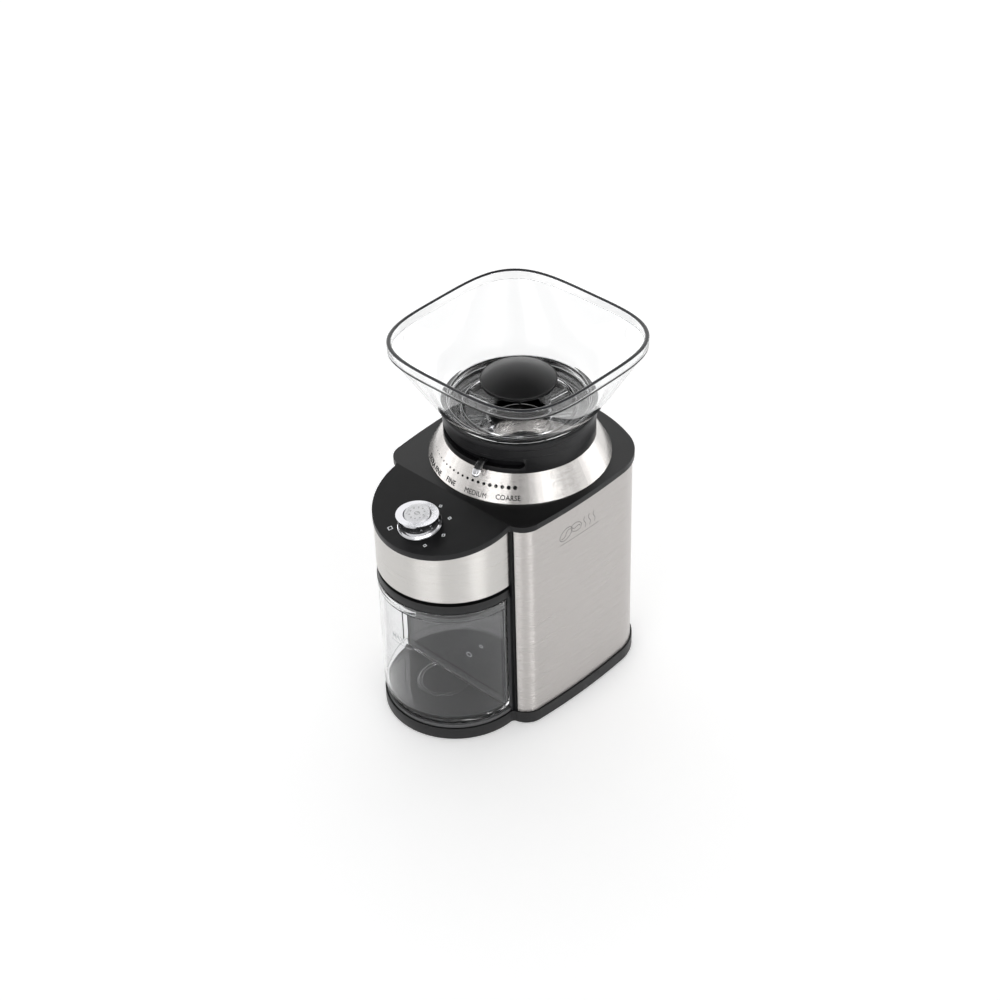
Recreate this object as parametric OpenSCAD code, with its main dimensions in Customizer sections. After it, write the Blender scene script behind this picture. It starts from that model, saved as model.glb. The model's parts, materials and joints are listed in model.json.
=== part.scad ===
// Burr coffee grinder: a steel-wrapped body with a round front lobe, a clear
// hopper on top and a grounds container that slides out under the controls.
// Front is -Y, up is +Z, and z = 0 is the surface that the feet rest on.

/* [Body] */
// Width of the body across its bowed sides
body_w = 130; // [129:0.5:131]
// How far each side bows out between its ends
side_bow = 4.3; // [3.5:0.1:4.6]
// Height of the top cover's upper face
cover_z = 168.2; // [168:0.1:168.4]
// Thickness of the top cover's edge
cover_t = 4.2; // [3.8:0.1:4.4]
// Fall of the control panel towards the front, per unit of depth
panel_fall = 0.21; // [0.19:0.01:0.22]
// Radius of the lobe that holds the controls
lobe_r = 50; // [49.8:0.1:50.2]
// Thickness of the steel sheet
sheet_t = 0.8; // [0.6:0.1:1]

/* [Hopper] */
// Half width of the hopper's rim, left to right
rim_x = 71.6; // [70:0.2:72]
// Half depth of the hopper's rim, front to back
rim_y = 70.4; // [69:0.2:70.4]
// Height of the hopper's rim
rim_z = 257.2; // [254:0.2:260]
// Thickness of the hopper's clear wall
hopper_t = 2; // [1.8:0.1:2.4]
// Radius of the bean guard
guard_r = 25; // [23:0.5:26]

/* [Dial] */
// Outer radius of the dial ring
dial_r = 60.3; // [59.8:0.1:60.6]
// Inner radius of the dial ring at its top
dial_top_r = 50.5; // [50.3:0.1:50.8]
// Angle of the lever at rest from the front, towards the right
lever_deg = 14; // [9:0.5:18]

/* [Container] */
// Outer radius of the grounds container
tub_r = 49.4; // [49:0.1:49.5]
// Height of the container's rim
tub_z = 110.1; // [104:0.1:110.4]
// Thickness of the container's clear wall
tub_t = 2; // [1.8:0.1:2.2]

/* [Drive] */
// Teeth of the big drive gear
drive_teeth = 54; // [54:1:54]
// Teeth of the idler's large wheel
idler_teeth = 46; // [46:1:46]
// Teeth of both pinions
pinion_teeth = 14; // [14:1:14]
// Radius of the motor case
motor_r = 26; // [24:0.5:26]

/* [Controls] */
// Radius of the timer knob at its foot
knob_r = 14.6; // [14:0.1:15]
// Radius of the start button
button_r = 8.9; // [8.8:0.05:8.95]

/* [Hidden] */

black = [0.10, 0.10, 0.11];
dark = [0.24, 0.24, 0.25];
steel = [0.76, 0.75, 0.73];
bright = [0.85, 0.85, 0.87];
clear = [0.85, 0.88, 0.9, 0.35];
board = [0.1, 0.35, 0.2];

// plan of the body
front_y = -40.8;
back_y = 86.2;
back_bow = 6.3;
front_r = 14.2;
rear_r = 34.8;
base_z0 = 2;
base_z1 = 10.8;
mid_y = (front_y + back_y) / 2;
half_l = (back_y - front_y) / 2;
lobe_y = -43.8;
cover_z0 = cover_z - cover_t;
slope = atan(panel_fall);

// axes
dial_y = 23.4;
knob_x = 1;
knob_s = -31.33;
gear_m = 1.25;
wheel_m = 1;
idler_x = -(idler_teeth + pinion_teeth) * wheel_m / 2;
drive_d = (drive_teeth + pinion_teeth) * gear_m / 2;
idler_y = dial_y + sqrt(drive_d * drive_d - idler_x * idler_x);
motor_y = idler_y;
idler_deg = atan2(idler_y - dial_y, idler_x);

// side of the body at depth y, moved in by i
function side_x(y, i) = body_w / 2 - i - side_bow * pow((y - mid_y) / half_l, 2);

// right half of the body's outline, moved in by i: front corner, bowed side,
// rear corner, and a shallow back arc that runs on from the corner
function half_outline(i, nf = 14, ns = 14, nr = 14, nb = 12) =
  let (yf = front_y + i, yb = back_y - i, rf = front_r - i, rb = rear_r - i,
       cf = [side_x(yf + rf, i) - rf, yf + rf],
       cb = [side_x(yb - rb, i) - rb, yb - rb],
       te = 90 - 2 * atan(back_bow / cb.x),
       ra = rb + cb.x / cos(te), ya = cb.y + (rb - ra) * sin(te))
  concat(
    [for (k = [0:nf]) let (t = -90 + 90 * k / nf) [cf.x + rf * cos(t), cf.y + rf * sin(t)]],
    [for (k = [1:ns - 1]) let (y = cf.y + (cb.y - cf.y) * k / ns) [side_x(y, i), y]],
    [for (k = [0:nr]) let (t = te * k / nr) [cb.x + rb * cos(t), cb.y + rb * sin(t)]],
    [for (k = [1:nb]) let (t = te + (90 - te) * k / nb) [ra * cos(t), ya + ra * sin(t)]]);

function outline(i) = let (h = half_outline(i), n = len(h))
  concat(h, [for (k = [1:n - 1]) let (q = h[n - 1 - k]) [-q.x, q.y]]);

module body_2d(i = 0) { polygon(outline(i)); }

// round concave corner of radius f between the lobe and the body's corner
corner_x = side_x(front_y + front_r, 0) - front_r;
corner_y = front_y + front_r;
module corner_fillet(r, f) {
  a = r + f;
  b = front_r + f;
  d = sqrt(corner_x * corner_x + pow(corner_y - lobe_y, 2));
  e = [corner_x / d, (corner_y - lobe_y) / d];
  u = (a * a - b * b + d * d) / (2 * d);
  v = sqrt(a * a - u * u);
  c = [u * e.x + v * e.y, lobe_y + u * e.y - v * e.x];
  t1 = [c.x * r / a, lobe_y + (c.y - lobe_y) * r / a];
  t2 = [corner_x + (c.x - corner_x) * front_r / b, corner_y + (c.y - corner_y) * front_r / b];
  difference() {
    polygon([t1, c, t2, [t2.x - 1, t2.y + 1.5], [t1.x - 2, t2.y + 1.5], [t1.x - 1, t1.y]]);
    translate(c) circle(r = f, $fn = 32);
  }
}

module plan_2d(i = 0, r = 50) {
  body_2d(i);
  translate([0, lobe_y]) circle(r = r, $fn = 180);
  if (i == 0) for (m = [0, 1]) mirror([m, 0]) corner_fillet(r, 3);
}

// the part of a lobe disc that stands in front of depth y1
module lobe_2d(r, y1) {
  intersection() {
    translate([0, lobe_y]) circle(r = r, $fn = 180);
    translate([-r - 1, lobe_y - r - 1]) square([2 * r + 2, y1 - lobe_y + r + 1]);
  }
}

// local frame of the sloping panel: Y runs up the slope, Z stands off it
module on_panel() { translate([0, front_y, cover_z]) rotate([slope, 0, 0]) children(); }
module at_knob() { on_panel() translate([knob_x, knob_s, 0]) children(); }
// everything above a plane that lies d under the panel's face
module above_panel(d) { on_panel() translate([-90, -90, -d]) cube([180, 180, 60]); }
module dial_axis() { translate([0, dial_y, 0]) children(); }
module ring(r1, r0, z0, z1) {
  translate([0, 0, z0]) difference() {
    cylinder(r = r1, h = z1 - z0, $fn = 96);
    translate([0, 0, -1]) cylinder(r = r0, h = z1 - z0 + 2, $fn = 96);
  }
}

// involute wheel with a tooth centred on +X
function inv(a) = tan(a) * 180 / PI - a;
function flank(r, rb, half) = half - inv(acos(min(1, rb / r)));
module wheel_2d(n, m, play = 0.12, pa = 25) {
  rp = n * m / 2;
  ra = rp + 0.85 * m;
  rf = rp - 1.1 * m;
  rb = rp * cos(pa);
  r0 = max(rb, rf);
  half = 90 / n - play / rp * 180 / PI + inv(pa);
  ks = [0:4];
  right = [for (k = ks) let (r = r0 + (ra - r0) * k / 4) [r, flank(r, rb, half)]];
  root = [rf, flank(r0, rb, half)];
  polygon([for (i = [0:n - 1]) let (c = 360 * i / n)
    each concat(
      [[rf * cos(c - root[1]), rf * sin(c - root[1])]],
      [for (k = ks) [right[k][0] * cos(c - right[k][1]), right[k][0] * sin(c - right[k][1])]],
      [for (k = ks) let (q = right[4 - k]) [q[0] * cos(c + q[1]), q[0] * sin(c + q[1])]],
      [[rf * cos(c + root[1]), rf * sin(c + root[1])]])]);
}

feet_at = [[-30, -66], [30, -66], [-40, 68], [40, 68]];
posts_at = [[-34, -6], [34, -6], [34, 52], [-12, 82]];
base_screws_at = concat([[-46, -16], [46, -16]], posts_at);

module base_plate() color(black) difference() {
  union() {
    difference() {
      translate([0, 0, base_z0]) linear_extrude(base_z1 - base_z0) plan_2d(0, lobe_r - 0.7);
      translate([0, 0, base_z0 - 1]) linear_extrude(7.3) body_2d(2.6);
      translate([0, 0, base_z0 - 1]) linear_extrude(7.3) lobe_2d(lobe_r - 3.3, front_y + 4);
    }
    // platform for the container
    translate([0, 0, base_z1 - 0.8]) linear_extrude(3.5) lobe_2d(lobe_r - 1.9, -41.8);
    // lip inside the steel wrap
    translate([0, 0, base_z1]) linear_extrude(3) difference() {
      body_2d(2.4);
      body_2d(4.4);
      translate([-52, front_y - 1]) square([104, 20]);
    }
    for (p = feet_at) translate([p.x, p.y, base_z0]) cylinder(r = 9, h = 6.5, $fn = 48);
    for (p = base_screws_at) translate([p.x, p.y, base_z0 + 1.5]) cylinder(r = 5, h = 5, $fn = 48);
    for (p = posts_at) translate([p.x, p.y, base_z1 - 0.5]) difference() {
      cylinder(r = 7, h = 5.5, $fn = 48);
      translate([0, 0, 0.5]) cylinder(r = 4, h = 6, $fn = 48);
    }
    // saddle for the cord gland
    translate([-7.2, 84.4, base_z1 - 0.5]) cube([18.2, 3, 4.5]);
  }
  for (p = feet_at) translate([p.x, p.y, base_z0 - 1]) cylinder(r = 7, h = 2, $fn = 48);
  for (p = base_screws_at) translate([p.x, p.y, 0]) cylinder(r = 1.75, h = 16, $fn = 32);
  // air slots under the motor
  for (k = [-3:3]) translate([-14, motor_y - 1.2 + 6 * k, 0]) cube([28, 2.4, 16]);
}

module feet() color([0.07, 0.07, 0.07]) for (p = feet_at) translate([p.x, p.y, 0]) {
  cylinder(r = 6.4, h = 0.6, $fn = 48);
  translate([0, 0, 0.6]) cylinder(r = 6.9, h = 2.4, $fn = 48);
}

// screws under the base hold the frame's flanges
module base_screws() color(steel) for (p = base_screws_at) translate([p.x, p.y, 0]) difference() {
  union() {
    translate([0, 0, 1.7]) cylinder(r = 3, h = 1.8, $fn = 32);
    translate([0, 0, 3.5]) cylinder(r = 1.6, h = 14, $fn = 32);
  }
  translate([-2, -0.4, 1]) cube([4, 0.8, 1.5]);
  translate([-0.4, -2, 1]) cube([0.8, 4, 1.5]);
}

wrap_edge = 51.74;
module steel_wrap() color(steel) difference() {
  translate([0, 0, base_z1]) linear_extrude(cover_z0 - base_z1) difference() {
    body_2d(1.35);
    body_2d(1.35 + sheet_t);
    translate([-wrap_edge, front_y - 5]) square([2 * wrap_edge, 30]);
  }
  translate([0, 80, 21]) rotate([-90, 0, 0]) cylinder(r = 6.05, h = 20, $fn = 48);
}

// wall behind the container, with side returns that tuck behind the wrap
module front_wall() color(dark) difference() {
  union() {
    translate([-51.2, -41, base_z1]) cube([102.4, 2.4, cover_z0 - 0.2 - base_z1]);
    for (m = [0, 1]) mirror([m, 0, 0]) {
      translate([48.8, -41, base_z1]) cube([2.4, 11, cover_z0 - 0.2 - base_z1]);
      translate([40, -31.5, base_z1]) cube([11.2, 1.5, cover_z0 - 0.2 - base_z1]);
      translate([40.6, -31.5, base_z1]) cube([9, 20, 6.5]);
    }
    // stiffening ribs on the inner face
    for (x = [-30, 30]) translate([x - 1, -38.6, base_z1]) cube([2, 3.4, cover_z0 - 0.2 - base_z1]);
  }
  translate([-14.3, -44, 122.4]) cube([28.6, 8, 30.6]);
  for (p = base_screws_at) translate([p.x, p.y, 5]) cylinder(r = 1.6, h = 14, $fn = 32);
}

hood_z = 119.3;
module lobe_housing() color(dark) difference() {
  union() {
    translate([0, 0, hood_z]) linear_extrude(48) difference() {
      lobe_2d(lobe_r - 1.4, -41);
      lobe_2d(lobe_r - 3.6, -43.2);
    }
    translate([0, 0, hood_z]) linear_extrude(2.4) lobe_2d(lobe_r - 1.4, -41);
    // foot flange that covers the edge of the steel band
    translate([0, 0, hood_z]) linear_extrude(0.6) lobe_2d(lobe_r - 0.7, -41);
  }
  above_panel(cover_t + 0.1);
  // way for the chute
  translate([-14.3, -76, hood_z - 1]) cube([28.6, 26.5, 8]);
  translate([-14.3, -46, 122.4]) cube([28.6, 8, 30.6]);
}

module front_band() color(steel) difference() {
  translate([0, 0, hood_z + 0.6]) linear_extrude(48) difference() {
    lobe_2d(lobe_r - 0.5, -41.1);
    lobe_2d(lobe_r - 0.5 - sheet_t, 0);
  }
  above_panel(cover_t + 0.05);
}

module top_cover() color(black) difference() {
  union() {
    translate([0, 0, cover_z0]) linear_extrude(cover_t) body_2d(0);
    intersection() {
      translate([0, 0, 145]) linear_extrude(30) union() {
        lobe_2d(lobe_r, front_y + 0.8);
        for (m = [0, 1]) mirror([m, 0]) corner_fillet(lobe_r, 3);
      }
      on_panel() translate([-70, -70, -cover_t]) cube([140, 70, cover_t]);
    }
    // lip inside the steel wrap
    translate([0, 0, cover_z0 - 4]) linear_extrude(4.5) difference() {
      body_2d(2.4);
      body_2d(4.4);
      translate([-52, front_y - 1]) square([104, 20]);
    }
    // sleeve round the grinding chamber
    dial_axis() ring(48.6, 46.1, cover_z0 - 8, cover_z0 + 1);
    // sleeve that guides the knob
    at_knob() translate([0, 0, -6]) difference() {
      cylinder(r = 13.6, h = 5, $fn = 64);
      translate([0, 0, -1]) cylinder(r = 11.66, h = 8, $fn = 64);
    }
  }
  dial_axis() translate([0, 0, cover_z0 - 9]) cylinder(r = 46.1, h = 16, $fn = 96);
  at_knob() translate([0, 0, -8]) cylinder(r = 11.66, h = 12, $fn = 64);
}

module dial_ring() color(steel) dial_axis() rotate_extrude($fn = 144)
  polygon([[dial_r - 1.2, cover_z + 0.05], [dial_r, cover_z + 0.05], [dial_r, cover_z + 0.7],
    [dial_top_r, 186], [50.05, 186], [50.05, 184.8]]);

// slot for the lever, cut through a wall between two radii
module lever_slot(r0, r1, a, z0, z1) {
  zc = (z0 + z1) / 2;
  rm = (r0 + r1) / 2;
  ex = 3 * rm * sin(a);
  ey = -10 - 3 * (rm * cos(a) - 10);
  intersection() {
    ring(r1, r0, z0, z1);
    translate([0, 0, z0 - 1]) linear_extrude(z1 - z0 + 2)
      polygon([[0, -10], [-ex, ey], [0, -200], [ex, ey]]);
  }
  for (s = [-a, a]) rotate([0, 0, s]) translate([0, -r0, zc]) rotate([90, 0, 0])
    cylinder(r = (z1 - z0) / 2 - 0.15, h = r1 - r0, $fn = 32);
}

module hopper_collar() color(black) dial_axis() difference() {
  rotate_extrude($fn = 144) polygon([[46.1, cover_z], [dial_r - 1.6, cover_z], [49.9, 184.3],
    [50, 184.3], [50, 197.4], [50.4, 197.8], [50.4, 203.4], [51.5, 204.6], [51.5, 207.4],
    [50.9, 208.2], [48.6, 208.2], [48.1, 207.7], [48.1, 197], [46.9, 196.4], [46.9, 172],
    [46.1, 171.4]]);
  lever_slot(45, 53, 43.5, 189.4, 195.2);
}

// knob with a flared foot, whose top plate lies level while its axis stands square to the panel
module level_cut(h) { translate([0, 0, h]) rotate([-slope, 0, 0]) translate([-20, -20, 0]) cube([40, 40, 20]); }
module timer_knob() color(bright) at_knob() difference() {
  union() {
    rotate_extrude($fn = 96) polygon([[0, -11], [11.6, -11], [11.6, 0.4], [knob_r, 0.4], [knob_r, 1.1], [knob_r - 0.5, 1.5],
      [knob_r - 1.2, 2.8], [knob_r - 1.75, 4.6], [knob_r - 2, 6.6], [knob_r - 2, 16], [0, 16]]);
    difference() {
      translate([0, 0, 2]) cylinder(r = knob_r - 0.9, h = 14, $fn = 96);
      difference() {
        translate([-30, -30, 0]) cube([60, 60, 20]);
        level_cut(8.5);
      }
    }
  }
  level_cut(9.93);
  translate([0, 0, -12]) cylinder(r = 9.1, h = 40, $fn = 96);
  // pointer dot by the button
  rotate([0, 0, 113]) translate([0, -11, 9.4]) cylinder(r = 0.5, h = 6, $fn = 24);
}

module start_button() color(bright) at_knob() difference() {
  union() {
    translate([0, 0, 6.8]) cylinder(r = button_r, h = 3.4, $fn = 96);
    translate([0, 0, 10.2]) cylinder(r1 = button_r, r2 = button_r - 0.6, h = 0.6, $fn = 96);
    translate([0, 0, -9.5]) cylinder(r = 2.2, h = 17, $fn = 32);
  }
  // ring pressed into the cap
  translate([0, 0, 10.5]) difference() {
    cylinder(r = 6.6, h = 1, $fn = 64);
    translate([0, 0, -1]) cylinder(r = 5.9, h = 3, $fn = 64);
  }
}

// coil spring between the start switch's seat and the button's cap
spring_turns = 6;
module coil(r, w, z0, z1, steps = 84, n = 6) {
  rings = [for (k = [0:steps]) let (t = k / steps, a = 360 * spring_turns * t,
      p = [r * cos(a), r * sin(a), z0 + (z1 - z0) * t])
    [for (j = [0:n - 1]) let (b = 360 * j / n)
      [p.x + w * cos(b) * cos(a), p.y + w * cos(b) * sin(a), p.z + w * sin(b)]]];
  polyhedron(points = [for (q = rings) each q],
    faces = concat([[for (j = [0:n - 1]) j]],
      [for (k = [0:steps - 1], j = [0:n - 1]) let (a = k * n + j, b = k * n + (j + 1) % n) [a, a + n, b + n, b]],
      [[for (j = [n - 1:-1:0]) steps * n + j]]));
}
module button_spring() color(steel) at_knob() coil(4.6, 0.35, -6.1, 6.4);

module timer_switch() color(dark) at_knob() difference() {
  translate([-14, -13.5, -17]) cube([28, 27, 5.6]);
  translate([0, 0, -20]) cylinder(r = 3.2, h = 12, $fn = 48);
  translate([0, 0, -13.4]) cylinder(r = 7, h = 4, $fn = 48);
}

// switch that the button's rod pushes, with the spring's seat round it
module start_switch() color([0.3, 0.3, 0.32]) at_knob() {
  difference() {
    translate([0, 0, -11.4]) cylinder(r = 8.6, h = 4.9, $fn = 64);
    translate([0, 0, -12.4]) cylinder(r = 2.5, h = 8, $fn = 48);
  }
  translate([0, 0, -13.4]) cylinder(r = 6.6, h = 2, $fn = 48);
}

module control_board() color(board) at_knob() {
  translate([-21, -13.4, -18.6]) cube([42, 27.5, 1.6]);
  for (x = [-19, 15]) translate([x, -6, -17]) cube([4, 12, 3]);
}

module power_board() color(board) {
  translate([-27, -34.6, 22]) cube([54, 1.6, 70]);
  for (x = [-20, -8, 4]) translate([x, -33, 30]) rotate([-90, 0, 0]) cylinder(r = 4.5, h = 9, $fn = 32);
  translate([-24, -33, 70]) cube([18, 6, 14]);
  // legs that clip into the base
  for (x = [-27, 22]) translate([x, -34.6, base_z1]) cube([5, 1.6, 12]);
}
module power_relay() color([0.15, 0.25, 0.45]) translate([4, -33, 62]) cube([16, 13, 20]);

module hopper_switch() color([0.3, 0.3, 0.32]) {
  translate([-10, 73.2, 153.6]) cube([20, 6.4, 10.4]);
  translate([-8, 75.2, 150.8]) cube([1, 2, 2.8]);
  translate([6, 75.2, 150.8]) cube([1, 2, 2.8]);
}

module support_posts() color(dark) for (p = posts_at) translate([p.x, p.y, base_z1]) difference() {
  cylinder(r = 4, h = 94 - base_z1, $fn = 48);
  translate([0, 0, 68]) cylinder(r = 1.3, h = 20, $fn = 32);
  translate([0, 0, -1]) cylinder(r = 1.6, h = 10, $fn = 32);
}

module gearbox_2d(g = 0) {
  translate([0, dial_y]) circle(r = 39 - g, $fn = 96);
  translate([idler_x, idler_y]) circle(r = 28.5 - g, $fn = 96);
  translate([0, motor_y]) circle(r = 20 - g, $fn = 96);
}

module gearbox_housing() color([0.35, 0.36, 0.38]) difference() {
  union() {
    translate([0, 0, 94]) linear_extrude(3) gearbox_2d(0);
    translate([0, 0, 94]) linear_extrude(30) difference() { gearbox_2d(0); gearbox_2d(2.4); }
    for (p = posts_at) translate([p.x, p.y, 94]) difference() {
      cylinder(r = 7, h = 6, $fn = 48);
      // stay clear of the wheels inside
      translate([-p.x, -p.y, 3]) linear_extrude(10) gearbox_2d(2.4);
    }
    dial_axis() translate([0, 0, 96]) cylinder(r = 13.4, h = 8, $fn = 64);
    translate([idler_x, idler_y, 96]) cylinder(r = 6, h = 4.7, $fn = 48);
    // bosses for the lid's screws
    for (a = lid_screw_at) translate([a.x, a.y, 94]) cylinder(r = 4, h = 30, $fn = 32);
  }
  dial_axis() translate([0, 0, 97]) cylinder(r = 11, h = 9, $fn = 64);
  dial_axis() translate([0, 0, 90]) cylinder(r = 6, h = 9, $fn = 48);
  translate([idler_x, idler_y, 90]) cylinder(r = 3, h = 14, $fn = 48);
  translate([0, motor_y, 90]) cylinder(r = 6.5, h = 9, $fn = 48);
  for (s = [-1, 1]) translate([0, motor_y + 11 * s, 90]) cylinder(r = 1.6, h = 9, $fn = 32);
  for (p = posts_at) translate([p.x, p.y, 90]) cylinder(r = 1.6, h = 12, $fn = 32);
  for (a = lid_screw_at) translate([a.x, a.y, 112]) cylinder(r = 1.2, h = 14, $fn = 32);
}

lid_screw_at = [[-40, 9], [42, 30], [22.5, 58.5], [-57, 40]];
module gearbox_lid() color([0.35, 0.36, 0.38]) difference() {
  union() {
    translate([0, 0, 124]) linear_extrude(3) {
      gearbox_2d(0);
      for (a = lid_screw_at) translate([a.x, a.y]) circle(r = 4, $fn = 32);
    }
    translate([idler_x, idler_y, 122.9]) cylinder(r = 6, h = 2, $fn = 48);
  }
  dial_axis() translate([0, 0, 120]) cylinder(r = 9, h = 10, $fn = 64);
  translate([idler_x, idler_y, 120]) cylinder(r = 3, h = 10, $fn = 48);
  for (a = lid_screw_at) translate([a.x, a.y, 120]) cylinder(r = 1.6, h = 10, $fn = 32);
}

module cap_screw(r, l, hr, hh) {
  difference() {
    cylinder(r = hr, h = hh, $fn = 32);
    translate([-hr * 0.7, -0.4, hh - 0.8]) cube([hr * 1.4, 0.8, 1]);
    translate([-0.4, -hr * 0.7, hh - 0.8]) cube([0.8, hr * 1.4, 1]);
  }
  translate([0, 0, -l]) cylinder(r = r, h = l, $fn = 32);
}
module gearbox_screws() color(steel) {
  for (a = lid_screw_at) translate([a.x, a.y, 127]) cap_screw(1.2, 14, 2.8, 1.9);
  for (p = posts_at) translate([p.x, p.y, 100]) cap_screw(1.3, 15, 2.8, 1.9);
}

module grinding_chamber() color([0.42, 0.43, 0.45]) difference() {
  union() {
    dial_axis() rotate_extrude($fn = 144) polygon([[11, 127], [38, 127], [38, 158], [46, 160.5],
      [46, 183], [42.4, 183], [42.4, 162], [34.5, 162], [34.5, 135], [14, 135], [14, 134], [11, 134]]);
    // flat seat for the chute
    translate([-16, -17, 131]) difference() {
      cube([32, 14, 23]);
      translate([16, dial_y + 17, -1]) cylinder(r = 36, h = 30, $fn = 96);
    }
  }
  translate([-12, -20, 136]) cube([24, 14, 14]);
}

// duct that leads the grounds forward and down into the container
module grounds_chute() color(dark) difference() {
  translate([-14, 0, 0]) rotate([90, 0, 90]) linear_extrude(28) polygon([[-17, 133.6], [-17, 152.4],
    [-60.4, 142.2], [-75, 136], [-75, 119.4], [-51, 119.4], [-49, 123.4]]);
  translate([-12, 0, 0]) rotate([90, 0, 90]) linear_extrude(24) polygon([[-16, 136], [-16, 150],
    [-18, 149.8], [-60, 139.9], [-73, 134.4], [-73, 118], [-53, 118], [-53, 121.6], [-50, 125.6], [-18, 136]]);
}

module motor_case() color([0.6, 0.6, 0.62]) translate([0, motor_y, 0]) difference() {
  translate([0, 0, 24]) cylinder(r = motor_r, h = 70, $fn = 96);
  translate([0, 0, 20]) cylinder(r = motor_r - 1.6, h = 72, $fn = 96);
  translate([0, 0, 90]) cylinder(r = 2.55, h = 6, $fn = 48);
  for (s = [-1, 1]) translate([0, 11 * s, 90]) cylinder(r = 1.5, h = 6, $fn = 32);
}

module motor_end_cap() color(black) translate([0, motor_y, 0]) difference() {
  union() {
    translate([0, 0, 18]) cylinder(r = motor_r, h = 6, $fn = 96);
    translate([0, 0, 24]) cylinder(r = motor_r - 1.7, h = 3, $fn = 96);
    translate([0, 0, 15]) cylinder(r = 8, h = 4, $fn = 48);
  }
  translate([0, 0, 17]) cylinder(r = 2.55, h = 12, $fn = 48);
  for (a = [0:60:300]) rotate([0, 0, a]) translate([10, -2, 16]) cube([10, 4, 14]);
}

module motor_screws() color(steel) for (s = [-1, 1]) translate([0, motor_y + 11 * s, 97])
  cap_screw(1.5, 5, 2.8, 1.6);

module motor_armature() color([0.55, 0.35, 0.2]) translate([0, motor_y, 0]) {
  translate([0, 0, 18.5]) cylinder(r = 2.5, h = 92, $fn = 48);
  // slotted core
  difference() {
    translate([0, 0, 42]) cylinder(r = 20, h = 30, $fn = 96);
    for (a = [0:45:315]) rotate([0, 0, a]) translate([12, -1.2, 40]) cube([10, 2.4, 34]);
  }
  translate([0, 0, 36]) cylinder(r = 16, h = 6.5, $fn = 64);
  translate([0, 0, 71.5]) cylinder(r = 16, h = 6.5, $fn = 64);
  translate([0, 0, 30]) cylinder(r = 7, h = 6.5, $fn = 48);
}

module motor_pinion() color([0.72, 0.6, 0.3]) translate([0, motor_y, 100.6]) rotate([0, 0, 180]) difference() {
  linear_extrude(9.6) wheel_2d(pinion_teeth, wheel_m);
  translate([0, 0, -1]) cylinder(r = 2.5, h = 12, $fn = 48);
}

module idler_pin() color(steel) translate([idler_x, idler_y, 94]) cylinder(r = 3, h = 33, $fn = 48);

module idler_gear() color([0.85, 0.82, 0.74]) translate([idler_x, idler_y, 0]) difference() {
  union() {
    translate([0, 0, 101]) rotate([0, 0, 180 / idler_teeth]) linear_extrude(8) wheel_2d(idler_teeth, wheel_m);
    translate([0, 0, 109]) rotate([0, 0, idler_deg + 180]) linear_extrude(13.6) wheel_2d(pinion_teeth, gear_m);
  }
  translate([0, 0, 100]) cylinder(r = 3.05, h = 30, $fn = 48);
  // lightening holes
  for (a = [30:60:330]) rotate([0, 0, a]) translate([15.5, 0, 100]) cylinder(r = 3.5, h = 8.99 + 1, $fn = 32);
}

module bearing(z) dial_axis() translate([0, 0, z]) difference() {
  cylinder(r = 11, h = 7, $fn = 64);
  translate([0, 0, -1]) cylinder(r = 4.05, h = 9, $fn = 48);
  for (q = [-0.6, 6.6]) translate([0, 0, q]) difference() {
    cylinder(r = 9, h = 1, $fn = 64);
    translate([0, 0, -1]) cylinder(r = 6.2, h = 3, $fn = 64);
  }
}
module lower_bearing() color(steel) bearing(97);
module upper_bearing() color(steel) bearing(127);

module drive_shaft() color(steel) dial_axis() translate([0, 0, 97.5]) {
  cylinder(r = 4, h = 60, $fn = 48);
  translate([0, 0, 60]) cylinder(r1 = 4, r2 = 3.2, h = 0.8, $fn = 48);
}

module drive_gear() color([0.85, 0.82, 0.74]) dial_axis() difference() {
  union() {
    translate([0, 0, 112]) rotate([0, 0, idler_deg + 180 / drive_teeth]) linear_extrude(9) wheel_2d(drive_teeth, gear_m);
    translate([0, 0, 106]) cylinder(r = 9, h = 17, $fn = 64);
  }
  translate([0, 0, 100]) cylinder(r = 4, h = 30, $fn = 48);
  translate([0, 0, 118]) ring_cut(28, 12, 6);
  translate([0, 0, 109]) ring_cut(28, 12, 6);
}
module ring_cut(r1, r0, h) difference() {
  cylinder(r = r1, h = h, $fn = 96);
  translate([0, 0, -1]) cylinder(r = r0, h = h + 2, $fn = 96);
}

module burr_rotor() color([0.62, 0.63, 0.65]) dial_axis() difference() {
  union() {
    translate([0, 0, 140]) cylinder(r = 31, h = 7, $fn = 96);
    translate([0, 0, 134.4]) cylinder(r = 10, h = 6, $fn = 64);
    translate([0, 0, 147]) cylinder(r = 11.9, h = 3, $fn = 64);
    // sweeping fins
    for (a = [0:60:300]) rotate([0, 0, a]) translate([12, -1.2, 135.8]) cube([21.6, 2.4, 11.2]);
  }
  translate([0, 0, 130]) cylinder(r = 4, h = 24, $fn = 48);
}

// grinding teeth: radial furrows cut into a disc's face
module furrows(z, n, tilt, depth) for (k = [0:n - 1]) rotate([0, 0, 360 * k / n])
  translate([0, 0, z]) rotate([0, 0, tilt]) translate([14, -0.9, -depth]) cube([20, 1.8, depth * 2]);

module lower_burr() color([0.66, 0.67, 0.69]) dial_axis() difference() {
  translate([0, 0, 147]) ring_cut(30, 12, 7);
  furrows(154, 24, 12, 1.6);
}

module burr_washer() color(steel) dial_axis() translate([0, 0, 150]) ring_cut(9, 4.1, 1.2);
module burr_nut() color(steel) dial_axis() difference() {
  translate([0, 0, 151.2]) cylinder(r = 7.5, h = 4.6, $fn = 6);
  translate([0, 0, 150]) cylinder(r = 4, h = 8, $fn = 48);
}

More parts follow.
